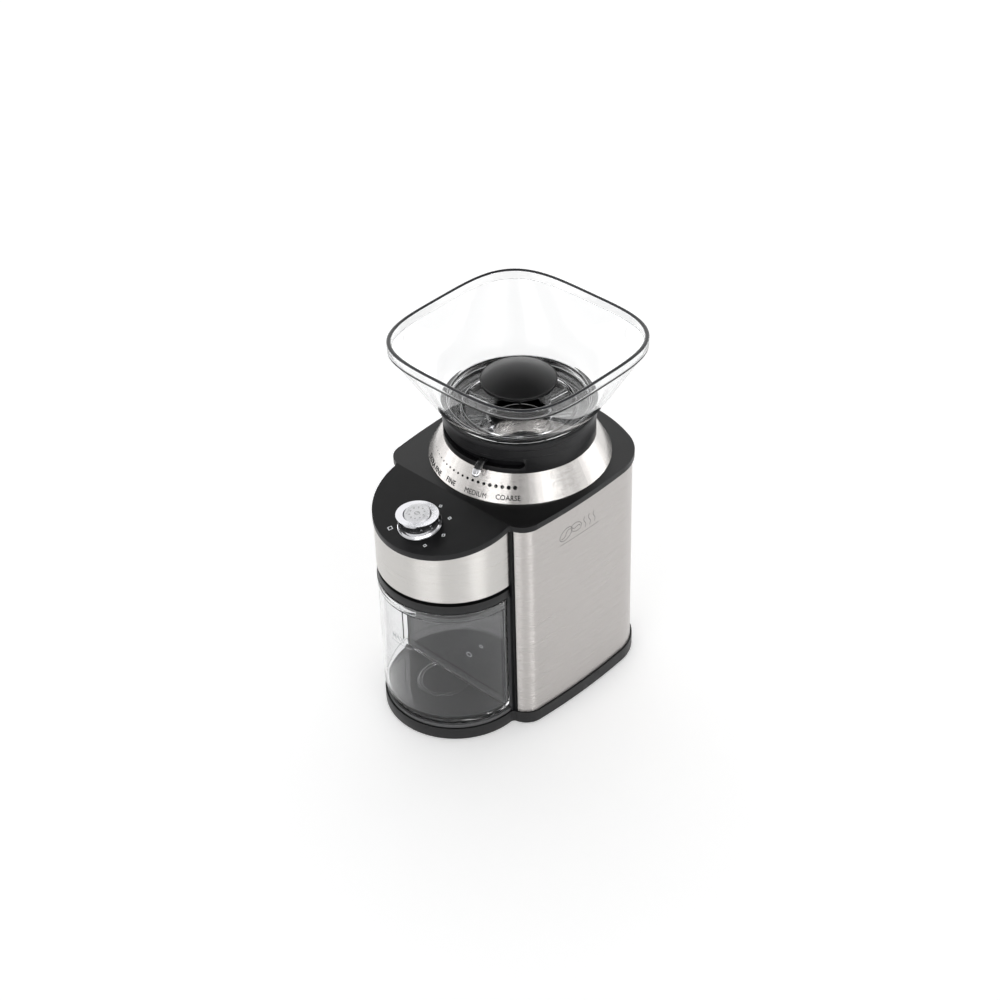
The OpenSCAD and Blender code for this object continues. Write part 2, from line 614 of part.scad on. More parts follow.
module adjusting_ring() color([0.2, 0.2, 0.22]) dial_axis() difference() {
  ring(46.6, 42.5, 183.4, 194.6);
  // root of the lever
  rotate([0, 0, lever_deg]) translate([-2.6, -48, 189.7]) cube([5.2, 4.4, 4.9]);
  // finger notches inside the ring's top
  for (a = [60:60:300]) rotate([0, 0, a]) translate([-4, -43.6, 191]) cube([8, 2.4, 5]);
}

// arm that reaches out through the collar's slot and turns down at its end
module lever_arm(w, pts) translate([w / 2, 0, 0]) rotate([90, 0, -90]) linear_extrude(w) polygon(pts);
module grind_lever() color(black) dial_axis() rotate([0, 0, lever_deg])
  lever_arm(5, [[43.7, 189.8], [51.4, 189.8], [55, 186.9], [58.1, 189.1], [55.6, 192], [52.6, 194], [43.7, 194.4]]);
module lever_tip() color(bright) dial_axis() rotate([0, 0, lever_deg]) hull() {
  lever_arm(5.4, [[55.05, 186.86], [55.5, 186.3], [58.6, 188.5], [58.15, 189.06]]);
  for (s = [-1, 1]) translate([s * 1.1, -58.2, 186.2]) sphere(r = 1.9, $fn = 24);
}

module upper_burr_carrier() color([0.25, 0.25, 0.27]) dial_axis() difference() {
  rotate_extrude($fn = 144) polygon([[17.2, 162.2], [31, 162.2], [31, 164], [41.9, 164], [41.9, 191],
    [39.2, 191], [39.2, 168], [23, 168], [23, 190], [21, 190], [17.2, 175]]);
  for (a = [30:120:270]) rotate([0, 0, a]) translate([26.3, 0, 160]) cylinder(r = 1.6, h = 12, $fn = 32);
}

module upper_burr() color([0.66, 0.67, 0.69]) dial_axis() difference() {
  translate([0, 0, 155.2]) ring_cut(30, 17.2, 7);
  translate([0, 0, 154.2]) cylinder(r1 = 22, r2 = 17.2, h = 5, $fn = 64);
  furrows(155.2, 24, -12, 1.6);
  for (a = [30:120:270]) rotate([0, 0, a]) translate([26.3, 0, 157.6]) cylinder(r = 1.25, h = 6, $fn = 32);
}
module upper_burr_screws() color(steel) dial_axis() for (a = [30:120:270])
  rotate([0, 0, a]) translate([26.3, 0, 168]) cap_screw(1.25, 10, 2.8, 1.8);

// clear hopper: round neck, stepped funnel floor and a flared rounded-square bowl
flare_z0 = 210.3;
flare_z1 = 249.6;
neck_r = 47.8;
function sgn_pow(v, e) = sign(v) * pow(abs(v), e);
function squircle(hx, hy, p, z, n) = [for (k = [0:n - 1]) let (a = 360 * k / n)
  [hx * sgn_pow(cos(a), 2 / p), hy * sgn_pow(sin(a), 2 / p), z]];
function flare_ring(t, d, n) =
  let (g = pow(t, 0.5), p = 2 + 1.75 * pow(t, 2.2),
       hx = neck_r - 0.2 + (rim_x - 0.6 - neck_r) * g - d, hy = neck_r - 0.2 + (rim_y - 0.6 - neck_r) * g - d)
  squircle(hx, hy, p, flare_z0 + (flare_z1 - flare_z0) * t, n);
module shell_of(rings, n) {
  m = len(rings);
  polyhedron(points = [for (q = rings) each q],
    faces = [for (i = [0:m - 1], j = [0:n - 1])
      let (a = i * n + j, b = i * n + (j + 1) % n, c = ((i + 1) % m) * n + j, d = ((i + 1) % m) * n + (j + 1) % n)
      [a, c, d, b]]);
}
module hopper() color(clear) dial_axis() {
  n = 72;
  ts = [0, 0.03, 0.08, 0.16, 0.28, 0.44, 0.62, 0.8, 1];
  shell_of(concat(
    [squircle(neck_r - 0.2, neck_r - 0.2, 2, 208.9, n)],
    [for (t = ts) flare_ring(t, 0, n)],
    [squircle(rim_x, rim_y, 3.75, flare_z1 + 0.4, n), squircle(rim_x, rim_y, 3.75, rim_z, n),
     squircle(rim_x - 2.6, rim_y - 2.6, 3.75, rim_z, n),
     squircle(rim_x - 2.6, rim_y - 2.6, 3.75, flare_z1 + 1.2, n)],
    [for (k = [len(ts) - 1:-1:0]) flare_ring(ts[k], hopper_t, n)],
    [squircle(neck_r - 0.2 - hopper_t, neck_r - 0.2 - hopper_t, 2, 208.9, n)]), n);
  rotate_extrude($fn = 144) polygon([[neck_r, 210], [neck_r, 197.1], [neck_r - 2, 197.1],
    [neck_r - 2, 203], [38, 203], [35.4, 201.4], [22, 198.6], [20, 196.8], [20, 192], [18, 192],
    [18, 199.6], [34.8, 204.2], [36.2, 207], [43.6, 207], [neck_r - 0.6 - hopper_t, 208.6], [neck_r - 0.6 - hopper_t, 210]]);
  // struts that carry the bean guard
  for (a = [45:90:315]) rotate([0, 0, a]) translate([-1, -20.5, 199]) cube([2, 8, 25.4]);
}

module bean_guard() color(black) dial_axis() {
  rc = (guard_r * guard_r + 7.5 * 7.5) / 15;
  difference() {
    intersection() {
      translate([0, 0, 232.6 - rc]) sphere(r = rc, $fn = 144);
      translate([0, 0, 225.1]) cylinder(r = guard_r, h = 12, $fn = 96);
    }
    translate([0, 0, 230.4 - rc]) sphere(r = rc, $fn = 144);
  }
  ring(guard_r, guard_r - 2, 223.6, 225.6);
  ring(14.9, 12.6, 224.4, 228.4);
  for (a = [0:90:270]) rotate([0, 0, a]) translate([13.5, -1, 224.4]) cube([10.4, 2, 1.6]);
}

module grounds_container() color(clear) difference() {
  union() {
    translate([0, 0, 15.6]) linear_extrude(tub_z - 15.6) lobe_2d(tub_r, -41.9);
    translate([0, 0, 13.6]) linear_extrude(2.2) lobe_2d(tub_r - 2.2, -43.4);
    translate([0, 0, tub_z - 6]) linear_extrude(6) lobe_2d(tub_r + 0.3, -41.8);
  }
  translate([0, 0, 17.8]) linear_extrude(120) lobe_2d(tub_r - tub_t, -41.9 - tub_t);
  // ring moulded in the floor
  translate([-3, -53.5, 12]) ring_cut(18, 16.4, 2.6);
}

module container_lid() color(dark) difference() {
  union() {
    translate([0, 0, tub_z + 0.15]) linear_extrude(6.4) lobe_2d(tub_r - 0.1, -41.9);
    translate([0, 0, tub_z - 4]) linear_extrude(6) difference() {
      lobe_2d(tub_r - tub_t - 0.3, -44.3);
      lobe_2d(tub_r - tub_t - 2.1, -46.1);
    }
  }
  translate([0, 0, tub_z - 6]) linear_extrude(9.6) lobe_2d(tub_r - tub_t - 2.1, -46.1);
  // opening under the chute
  translate([-15, -76, tub_z]) cube([30, 27, 12]);
}

module cord_gland() color(black) translate([0, 0, 21]) rotate([-90, 0, 0]) translate([0, 0, 0]) difference() {
  union() {
    translate([0, 0, 84.4]) cylinder(r = 6, h = 7.6, $fn = 48);
    translate([0, 0, 91.4]) cylinder(r1 = 7.6, r2 = 6.6, h = 1.8, $fn = 48);
    translate([0, 0, 87.4]) cylinder(r = 7, h = 2, $fn = 48);
  }
  translate([0, 0, 80]) cylinder(r = 3.3, h = 16, $fn = 48);
}

base_plate();
feet();
base_screws();
steel_wrap();
front_wall();
lobe_housing();
front_band();
top_cover();
dial_ring();
hopper_collar();
timer_knob();
start_button();
button_spring();
timer_switch();
start_switch();
control_board();
power_board();
power_relay();
hopper_switch();
support_posts();
gearbox_housing();
gearbox_lid();
gearbox_screws();
grinding_chamber();
grounds_chute();
motor_case();
motor_end_cap();
motor_screws();
motor_armature();
motor_pinion();
idler_pin();
idler_gear();
lower_bearing();
upper_bearing();
drive_shaft();
drive_gear();
burr_rotor();
lower_burr();
burr_washer();
burr_nut();
adjusting_ring();
grind_lever();
lever_tip();
upper_burr_carrier();
upper_burr();
upper_burr_screws();
hopper();
bean_guard();
grounds_container();
container_lid();
cord_gland();
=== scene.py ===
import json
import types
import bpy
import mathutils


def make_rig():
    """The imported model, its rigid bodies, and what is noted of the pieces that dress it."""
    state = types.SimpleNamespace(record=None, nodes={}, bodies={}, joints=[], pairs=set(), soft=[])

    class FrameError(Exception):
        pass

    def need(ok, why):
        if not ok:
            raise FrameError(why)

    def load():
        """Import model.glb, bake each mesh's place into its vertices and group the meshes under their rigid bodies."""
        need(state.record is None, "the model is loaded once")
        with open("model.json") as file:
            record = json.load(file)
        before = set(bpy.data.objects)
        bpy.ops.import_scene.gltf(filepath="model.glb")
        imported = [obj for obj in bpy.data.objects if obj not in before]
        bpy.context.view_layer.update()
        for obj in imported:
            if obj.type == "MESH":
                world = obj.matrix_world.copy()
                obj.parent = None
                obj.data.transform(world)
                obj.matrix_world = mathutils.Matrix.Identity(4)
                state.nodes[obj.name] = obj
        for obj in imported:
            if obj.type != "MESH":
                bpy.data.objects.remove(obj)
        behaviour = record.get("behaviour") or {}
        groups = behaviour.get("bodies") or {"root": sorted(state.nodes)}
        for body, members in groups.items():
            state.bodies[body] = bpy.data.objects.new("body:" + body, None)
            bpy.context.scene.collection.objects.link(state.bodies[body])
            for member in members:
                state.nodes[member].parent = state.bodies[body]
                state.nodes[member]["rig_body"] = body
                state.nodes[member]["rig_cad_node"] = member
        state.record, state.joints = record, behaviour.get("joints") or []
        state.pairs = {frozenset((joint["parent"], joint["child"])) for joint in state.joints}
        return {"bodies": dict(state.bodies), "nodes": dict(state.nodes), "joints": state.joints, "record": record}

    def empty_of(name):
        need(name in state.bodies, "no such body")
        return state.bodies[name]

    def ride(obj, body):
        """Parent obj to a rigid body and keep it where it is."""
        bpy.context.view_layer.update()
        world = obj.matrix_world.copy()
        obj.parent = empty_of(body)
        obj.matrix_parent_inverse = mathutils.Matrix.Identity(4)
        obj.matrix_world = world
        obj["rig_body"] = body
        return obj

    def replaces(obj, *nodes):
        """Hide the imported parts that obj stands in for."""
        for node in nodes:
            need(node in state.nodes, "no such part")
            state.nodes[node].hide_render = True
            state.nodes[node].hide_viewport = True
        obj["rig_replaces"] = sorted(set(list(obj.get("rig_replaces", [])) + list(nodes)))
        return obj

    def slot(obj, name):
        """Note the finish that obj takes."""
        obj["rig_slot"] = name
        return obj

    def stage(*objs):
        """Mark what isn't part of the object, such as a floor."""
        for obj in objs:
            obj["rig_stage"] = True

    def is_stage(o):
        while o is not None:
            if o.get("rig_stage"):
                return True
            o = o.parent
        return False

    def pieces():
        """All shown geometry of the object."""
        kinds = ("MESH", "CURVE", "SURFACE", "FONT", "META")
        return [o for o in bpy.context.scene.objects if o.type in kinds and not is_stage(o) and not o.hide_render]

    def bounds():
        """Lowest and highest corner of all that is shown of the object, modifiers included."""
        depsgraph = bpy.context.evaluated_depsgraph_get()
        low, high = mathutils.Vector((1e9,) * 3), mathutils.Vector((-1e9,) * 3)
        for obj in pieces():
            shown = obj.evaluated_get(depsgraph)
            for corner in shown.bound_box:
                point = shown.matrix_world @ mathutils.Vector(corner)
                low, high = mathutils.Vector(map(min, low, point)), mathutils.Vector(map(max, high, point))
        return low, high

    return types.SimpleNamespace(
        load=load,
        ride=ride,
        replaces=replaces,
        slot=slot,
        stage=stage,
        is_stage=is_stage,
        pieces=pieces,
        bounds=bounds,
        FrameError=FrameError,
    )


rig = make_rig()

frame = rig.load()
import bpy, bmesh, math, json
from math import sin, cos, pi, radians, sqrt, atan2
from mathutils import Vector, Matrix

box0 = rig.bounds()
NECK_TICK = 30.0
MM = 0.001
DIAL_Y = 23.4
LOBE_Y = -43.8
SLOPE = math.atan(0.21)
sc = bpy.context.scene
sc.view_settings.view_transform = "Standard"
sc.view_settings.look = "None"

# ---------------------------------------------------------------- camera
def make_camera():
    f_px, dist = 2194.9233, 1437.73378
    el, az, roll = radians(37.170898), radians(44.178425), radians(-1.662474)
    target = Vector((6.9266, -4.2, 145.9275))
    back = Vector((sin(az) * cos(el), -cos(az) * cos(el), sin(el)))
    right = (-back).cross(Vector((0, 0, 1))).normalized()
    up = right.cross(-back)
    r2 = right * cos(roll) + up * sin(roll)
    u2 = -right * sin(roll) + up * cos(roll)
    loc = (target + back * dist) * MM
    data = bpy.data.cameras.new("photo_camera")
    data.sensor_width = 36
    data.lens = f_px * 36 / 1000
    data.clip_start, data.clip_end = 0.01, 50
    cam = bpy.data.objects.new("photo_camera", data)
    m = Matrix.Identity(4)
    for i, v in enumerate((r2, u2, back)):
        for k in range(3):
            m[k][i] = v[k]
    for k in range(3):
        m[k][3] = loc[k]
    cam.matrix_world = m
    sc.collection.objects.link(cam)
    sc.camera = cam
make_camera()

# ---------------------------------------------------------------- node helpers
class Mat:
    """A Principled material with node chains on its sockets."""
    def __init__(s, name, color, rough=0.5, metal=0.0, **kw):
        s.m = bpy.data.materials.new(name)
        s.m.use_nodes = True
        s.nt = s.m.node_tree
        s.n = s.nt.nodes
        s.p = s.n["Principled BSDF"]
        s.color = tuple(color[:3]) + (1.0,)
        s.p.inputs["Base Color"].default_value = s.color
        s.p.inputs["Roughness"].default_value = rough
        s.p.inputs["Metallic"].default_value = metal
        for k, v in kw.items():
            s.p.inputs[k.replace("_", " ")].default_value = v
        s.normal = None
        s.tc = s.n.new("ShaderNodeTexCoord")
    def link(s, a, b):
        s.nt.links.new(a, b)
    def math(s, op, a, b=None, clamp=False):
        q = s.n.new("ShaderNodeMath")
        q.operation = op
        q.use_clamp = clamp
        for i, v in enumerate((a, b)):
            if v is None:
                continue
            if isinstance(v, (int, float)):
                q.inputs[i].default_value = v
            else:
                s.link(v, q.inputs[i])
        return q.outputs[0]
    def coord(s, scale=(1, 1, 1), at=(0, 0, 0)):
        q = s.n.new("ShaderNodeMapping")
        q.inputs["Scale"].default_value = scale
        q.inputs["Location"].default_value = at
        s.link(s.tc.outputs["Object"], q.inputs["Vector"])
        return q.outputs[0]
    def noise(s, vec, scale, detail=4.0, rough=0.55):
        q = s.n.new("ShaderNodeTexNoise")
        q.inputs["Scale"].default_value = scale
        q.inputs["Detail"].default_value = detail
        q.inputs["Roughness"].default_value = rough
        s.link(vec, q.inputs["Vector"])
        return q.outputs["Fac"]
    def span(s, fac, lo, hi, f0=0.3, f1=0.7):
        q = s.n.new("ShaderNodeMapRange")
        q.inputs["From Min"].default_value = f0
        q.inputs["From Max"].default_value = f1
        q.inputs["To Min"].default_value = lo
        q.inputs["To Max"].default_value = hi
        s.link(fac, q.inputs["Value"])
        return q.outputs[0]
    def ramp_color(s, fac, stops):
        q = s.n.new("ShaderNodeValToRGB")
        e = q.color_ramp.elements
        while len(e) < len(stops):
            e.new(0.5)
        for i, (p, c) in enumerate(stops):
            e[i].position = p
            e[i].color = tuple(c[:3]) + (1,)
        s.link(fac, q.inputs["Fac"])
        s.link(q.outputs["Color"], s.p.inputs["Base Color"])
        return q
    def vary(s, fac, amount, f0=0.3, f1=0.7):
        c = s.color
        return s.ramp_color(s.span(fac, 0, 1, f0, f1), [(0.0, [max(0, x * (1 - amount)) for x in c[:3]]),
                                           (1.0, [min(1, x * (1 + amount)) for x in c[:3]])])
    def roughness(s, fac, lo, hi, f0=0.3, f1=0.7):
        s.link(s.span(fac, lo, hi, f0, f1), s.p.inputs["Roughness"])
    def bump(s, height, dist, strength=1.0):
        q = s.n.new("ShaderNodeBump")
        q.inputs["Strength"].default_value = strength
        q.inputs["Distance"].default_value = dist
        s.link(height, q.inputs["Height"])
        if s.normal is not None:
            s.link(s.normal, q.inputs["Normal"])
        s.normal = q.outputs["Normal"]
        s.link(s.normal, s.p.inputs["Normal"])
    def tangent_z(s):
        q = s.n.new("ShaderNodeTangent")
        q.direction_type = "RADIAL"
        q.axis = "Z"
        s.link(q.outputs["Tangent"], s.p.inputs["Tangent"])

def plastic(name, color, r0, r1, grain=0.00002, gscale=2600, vary=0.12, spec=0.5, coat=0.0):
    m = Mat(name, color, (r0 + r1) / 2)
    m.p.inputs["Specular IOR Level"].default_value = spec
    if coat:
        m.p.inputs["Coat Weight"].default_value = coat
        m.p.inputs["Coat Roughness"].default_value = 0.12
    big = m.noise(m.coord(), 38, 3)
    fine = m.noise(m.coord(), gscale, 2, 0.6)
    m.vary(m.noise(m.coord(), 160, 5), vary)
    m.roughness(big, r0, r1)
    m.bump(fine, grain, 1.0)
    return m.m

def brushed(name, color, r0, r1, along=(5, 5, 1500), aniso=0.97, rot=0.25, amount=0.045, depth=0.000006):
    """Steel with hair lines: the noise is drawn out along the brushing."""
    m = Mat(name, color, (r0 + r1) / 2, 1.0)
    m.p.inputs["Anisotropic"].default_value = aniso
    m.p.inputs["Anisotropic Rotation"].default_value = rot
    m.tangent_z()
    lines = m.noise(m.coord(along), 3.0, 5, 0.65)
    cloud = m.noise(m.coord((10, 10, 25)), 1.0, 2)
    m.vary(m.math("ADD", m.math("MULTIPLY", lines, 0.85), m.math("MULTIPLY", cloud, 0.15)), amount, 0.35, 0.65)
    m.roughness(lines, r0, r1, 0.35, 0.65)
    m.bump(lines, depth)
    return m.m

def spun(name, color, r0, r1, centre, aniso=0.85, rot=0.25, amount=0.12, rays=70.0):
    """Steel turned about an upright axis: fine circles, with soft rays of painted reflection across them in its
    colour.
    """
    m = Mat(name, color, (r0 + r1) / 2, 1.0)
    m.p.inputs["Anisotropic"].default_value = aniso
    m.p.inputs["Anisotropic Rotation"].default_value = rot
    m.tangent_z()
    sep = m.n.new("ShaderNodeSeparateXYZ")
    m.link(m.coord(at=(-centre[0], -centre[1], 0)), sep.inputs[0])
    x, y = sep.outputs["X"], sep.outputs["Y"]
    rad = m.math("SQRT", m.math("ADD", m.math("MULTIPLY", x, x), m.math("MULTIPLY", y, y)))
    unit = m.n.new("ShaderNodeCombineXYZ")
    m.link(m.math("DIVIDE", x, rad), unit.inputs[0])
    m.link(m.math("DIVIDE", y, rad), unit.inputs[1])
    # painted reflection: light and dark rays round the axis are painted into the colour, standing in for the streaks a
    # turned surface reflects
    painted_rays = m.noise(unit.outputs[0], rays / 10, 4, 0.6)
    circ = m.n.new("ShaderNodeCombineXYZ")
    m.link(m.math("MULTIPLY", rad, 900.0), circ.inputs[2])
    m.link(m.math("MULTIPLY", m.math("DIVIDE", x, rad), 2.0), circ.inputs[0])
    m.link(m.math("MULTIPLY", m.math("DIVIDE", y, rad), 2.0), circ.inputs[1])
    rings = m.noise(circ.outputs[0], 3.0, 4, 0.6)
    m.vary(painted_rays, amount, 0.32, 0.68)
    m.roughness(rings, r0, r1, 0.35, 0.65)
    m.bump(rings, 0.00001)
    return m.m

def metal(name, color, r0, r1, scale=400, amount=0.08, depth=0.00001):
    m = Mat(name, color, (r0 + r1) / 2, 1.0)
    m.vary(m.noise(m.coord(), scale / 4, 4), amount)
    m.roughness(m.noise(m.coord(), scale, 3), r0, r1)
    if depth:
        m.bump(m.noise(m.coord(), scale * 3, 2), depth)
    return m.m

def clear(name, tint=(0.935, 0.938, 0.94), rough=0.0, depth=0.0000015, ior=1.46):
    m = Mat(name, tint, rough)
    m.p.inputs["Transmission Weight"].default_value = 1.0
    m.p.inputs["IOR"].default_value = ior
    flow = m.noise(m.coord((1, 1, 0.6)), 55, 2, 0.4)
    m.bump(flow, depth * 8)
    m.roughness(m.noise(m.coord(), 90, 3), rough, rough + 0.006)
    return m.m

def flat_ink(name, color, rough=0.45, spec=0.4):
    m = Mat(name, color, rough)
    m.p.inputs["Specular IOR Level"].default_value = spec
    m.vary(m.noise(m.coord(), 900, 3), 0.1)
    m.roughness(m.noise(m.coord(), 500, 3), rough - 0.08, rough + 0.1)
    return m.m

M = {
    "satin_black": plastic("satin_black", (0.006, 0.006, 0.0066), 0.3, 0.38, 0.000014, 3200, 0.12, 0.25),
    "black_plastic": plastic("black_plastic", (0.008, 0.008, 0.0085), 0.36, 0.46, 0.000016, 2600, 0.14, 0.3),
    "dark_plastic": plastic("dark_plastic", (0.045, 0.046, 0.048), 0.4, 0.5, 0.000012, 2200, 0.08, 0.35),
    "guard_black": plastic("guard_black", (0.006, 0.006, 0.0065), 0.36, 0.44, 0.00001, 3000, 0.1, 0.3),
    "rubber_feet": plastic("rubber_feet", (0.016, 0.016, 0.016), 0.75, 0.9, 0.00003, 1800, 0.15, 0.3),
    "brushed_steel": brushed("brushed_steel", (0.5, 0.478, 0.464), 0.25, 0.31),
    # the dial's rays are painted reflection
    "dial_steel": spun("dial_steel", (0.57, 0.55, 0.534), 0.17, 0.25, (0, DIAL_Y * MM)),
    "screw_steel": metal("screw_steel", (0.55, 0.55, 0.55), 0.25, 0.4),
    "bearing_steel": metal("bearing_steel", (0.6, 0.6, 0.62), 0.18, 0.3),
    "burr_steel": metal("burr_steel", (0.42, 0.42, 0.44), 0.3, 0.45),
    "motor_steel": metal("motor_steel", (0.4, 0.4, 0.42), 0.35, 0.5),
    "spring_steel": metal("spring_steel", (0.5, 0.5, 0.5), 0.2, 0.35),
    "chrome_trim": metal("chrome_trim", (0.55, 0.55, 0.57), 0.06, 0.12, 500, 0.03, 0.0),
    "chrome_button": metal("chrome_button", (0.88, 0.88, 0.9), 0.26, 0.36, 700, 0.04, 0.000002),
    "clear_plastic": clear("clear_plastic"),
    "cast_alloy": metal("cast_alloy", (0.42, 0.42, 0.44), 0.45, 0.6, 900, 0.1, 0.00003),
    "brass_pinion": metal("brass_pinion", (0.72, 0.5, 0.2), 0.25, 0.38),
    "gear_nylon": plastic("gear_nylon", (0.75, 0.71, 0.6), 0.35, 0.45, 0.00001, 1500, 0.04),
    "circuit_board": plastic("circuit_board", (0.02, 0.13, 0.06), 0.25, 0.35, 0.000008, 900, 0.2),
    "relay_case": plastic("relay_case", (0.03, 0.07, 0.2), 0.3, 0.4, 0.000008, 1200, 0.08),
}
M["brushed_band"] = brushed("brushed_band", (0.575, 0.56, 0.542), 0.26, 0.32, amount=0.06)
# painted shade: a dark material for the lines that refraction draws dark along steps and lips of the clear plastic
M["lip_painted_shade"] = plastic("lip_painted_shade", (0.018, 0.019, 0.022), 0.06, 0.14, 0.000002, 800, 0.15, 0.5)
M["gloss_black"] = plastic("gloss_black", (0.006, 0.006, 0.0065), 0.1, 0.16, 0.000003, 1500, 0.1, 0.5)
M["ink_black"] = flat_ink("ink_black", (0.004, 0.004, 0.004), 0.5, 0.08)
M["ink_white"] = flat_ink("ink_white", (0.84, 0.86, 0.88))
M["ink_etch"] = flat_ink("ink_etch", (0.11, 0.105, 0.1), 0.5, 0.15)
M["ink_frost"] = flat_ink("ink_frost", (0.5, 0.51, 0.52), 0.35)
M["tub_clear"] = clear("tub_clear", (0.965, 0.968, 0.972), 0.0, 0.0000015, 1.38)

def wall_plastic():
    """The front wall is a mid grey behind the container and black up beside the steel band, where the black is painted
    shade.
    """
    m = Mat("wall_plastic", (0.05, 0.051, 0.053), 0.5)
    m.p.inputs["Specular IOR Level"].default_value = 0.15
    sep = m.n.new("ShaderNodeSeparateXYZ")
    m.link(m.coord(), sep.inputs[0])
    # painted shade: the wall goes black above the container's top and out beside its sides
    up = m.math("MAXIMUM", m.span(sep.outputs["Z"], 0, 1, 0.1115, 0.113), m.span(m.math("ABSOLUTE", sep.outputs["X"]), 0, 1, 0.0482, 0.0492))
    grain = m.span(m.noise(m.coord(), 900, 3), -0.06, 0.06)
    fac = m.math("ADD", up, grain, True)
    m.ramp_color(fac, [(0.0, (0.07, 0.071, 0.073)), (0.08, (0.066, 0.067, 0.069)), (1.0, (0.002, 0.002, 0.0025))])
    m.roughness(m.noise(m.coord(), 60, 3), 0.42, 0.52)
    m.bump(m.noise(m.coord(), 90, 2), 0.000001)
    return m.m
M["wall_plastic"] = wall_plastic()

def base_plastic():
    """Black moulding whose recess under the container is the same mid grey as the wall behind it."""
    m = Mat("base_plastic", (0.008, 0.008, 0.0085), 0.45)
    m.p.inputs["Specular IOR Level"].default_value = 0.3
    sep = m.n.new("ShaderNodeSeparateXYZ")
    m.link(m.coord(at=(0, -LOBE_Y * MM, 0)), sep.inputs[0])
    x, y = sep.outputs["X"], sep.outputs["Y"]
    rad = m.math("SQRT", m.math("ADD", m.math("MULTIPLY", x, x), m.math("MULTIPLY", y, y)))
    inside = m.math("MULTIPLY", m.span(rad, 1, 0, 0.0478, 0.0484), m.span(sep.outputs["Z"], 0, 1, 0.0108, 0.0112))
    inside = m.math("MULTIPLY", inside, m.span(y, 1, 0, 0.0012, 0.0022))
    fac = m.math("ADD", inside, m.span(m.noise(m.coord(), 900, 3), -0.05, 0.05), True)
    m.ramp_color(fac, [(0.0, (0.008, 0.008, 0.0085)), (0.06, (0.009, 0.009, 0.0095)), (1.0, (0.125, 0.126, 0.129))])
    m.roughness(m.noise(m.coord(), 60, 3), 0.38, 0.48)
    m.bump(m.noise(m.coord(), 300, 2), 0.000001)
    return m.m
M["base_plastic"] = base_plastic()
# painted shade: the adjusting ring takes a darker copy of the black plastic so the collar's slot reads as a black hole
M["black_painted_shade"] = plastic("black_painted_shade", (0.0025, 0.0025, 0.003), 0.5, 0.6, 0.00001, 2000, 0.1, 0.06)
# painted highlight: near-white beads stand in for the bright rings the clear neck reflects
M["bead_painted_highlight"] = flat_ink("bead_painted_highlight", (0.86, 0.87, 0.88), 0.12, 0.5)
MATERIAL_OF = {"front_band": "brushed_band", "front_wall": "wall_plastic", "base_plate": "base_plastic", "adjusting_ring": "black_painted_shade",
               "lobe_housing": "black_plastic", "container_lid": "black_plastic"}
# the chrome face's rays are painted reflection too, as on the dial
M["chrome_face"] = spun("chrome_face", (0.78, 0.78, 0.8), 0.12, 0.22, (0.001, -0.07146), 0.6, 0.25, 0.1, 40)

NODES = frame["nodes"]
slot_of = {s["node"]: s["material_slot"] for s in frame["record"]["subparts"]}

def finish_node(name):
    o = NODES[name]
    mat = M[MATERIAL_OF.get(name, slot_of[name])]
    o.data.materials.clear()
    o.data.materials.append(mat)
    for poly in o.data.polygons:
        poly.material_index = 0

for name in NODES:
    finish_node(name)

def bevel(name, width, angle=30, segs=3):
    o = NODES[name]
    w = o.modifiers.new("weld", "WELD")
    w.merge_threshold = 0.000002
    b = o.modifiers.new("edge", "BEVEL")
    b.width = width * MM
    b.segments = segs
    b.limit_method = "ANGLE"
    b.angle_limit = radians(angle)
    b.harden_normals = False

# ---------------------------------------------------------------- mesh helpers
def piece(name, verts, faces, body, slot, mats=None, index=None, angle=35, smooth=True):
    me = bpy.data.meshes.new(name)
    me.from_pydata([tuple(c * MM for c in v) for v in verts], [], faces)
    bm = bmesh.new()
    bm.from_mesh(me)
    bmesh.ops.remove_doubles(bm, verts=bm.verts, dist=1e-7)
    bmesh.ops.recalc_face_normals(bm, faces=bm.faces)
    bm.to_mesh(me)
    bm.free()
    for m in (mats or [M[slot]]):
        me.materials.append(m)
    if index is not None and len(index) == len(me.polygons):
        me.polygons.foreach_set("material_index", index)
    me.update()
    if smooth:
        me.shade_smooth()
        me.set_sharp_from_angle(angle=radians(angle))
    o = bpy.data.objects.new(name, me)
    sc.collection.objects.link(o)
    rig.ride(o, body)
    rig.slot(o, slot)
    return o

def loft(rings, close=True, cap=True):
    """Faces between rings of equal length; close joins the last ring to the first."""
    n = len(rings[0])
    verts = [p for r in rings for p in r]
    faces = []
    m = len(rings)
    for i in range(m if close else m - 1):
        a, b = i * n, ((i + 1) % m) * n
        for j in range(n):
            k = (j + 1) % n
            faces.append((a + j, a + k, b + k, b + j))
    if not close and cap:
        faces.append(tuple(range(n - 1, -1, -1)))
        faces.append(tuple(range((m - 1) * n, m * n)))
    return verts, faces

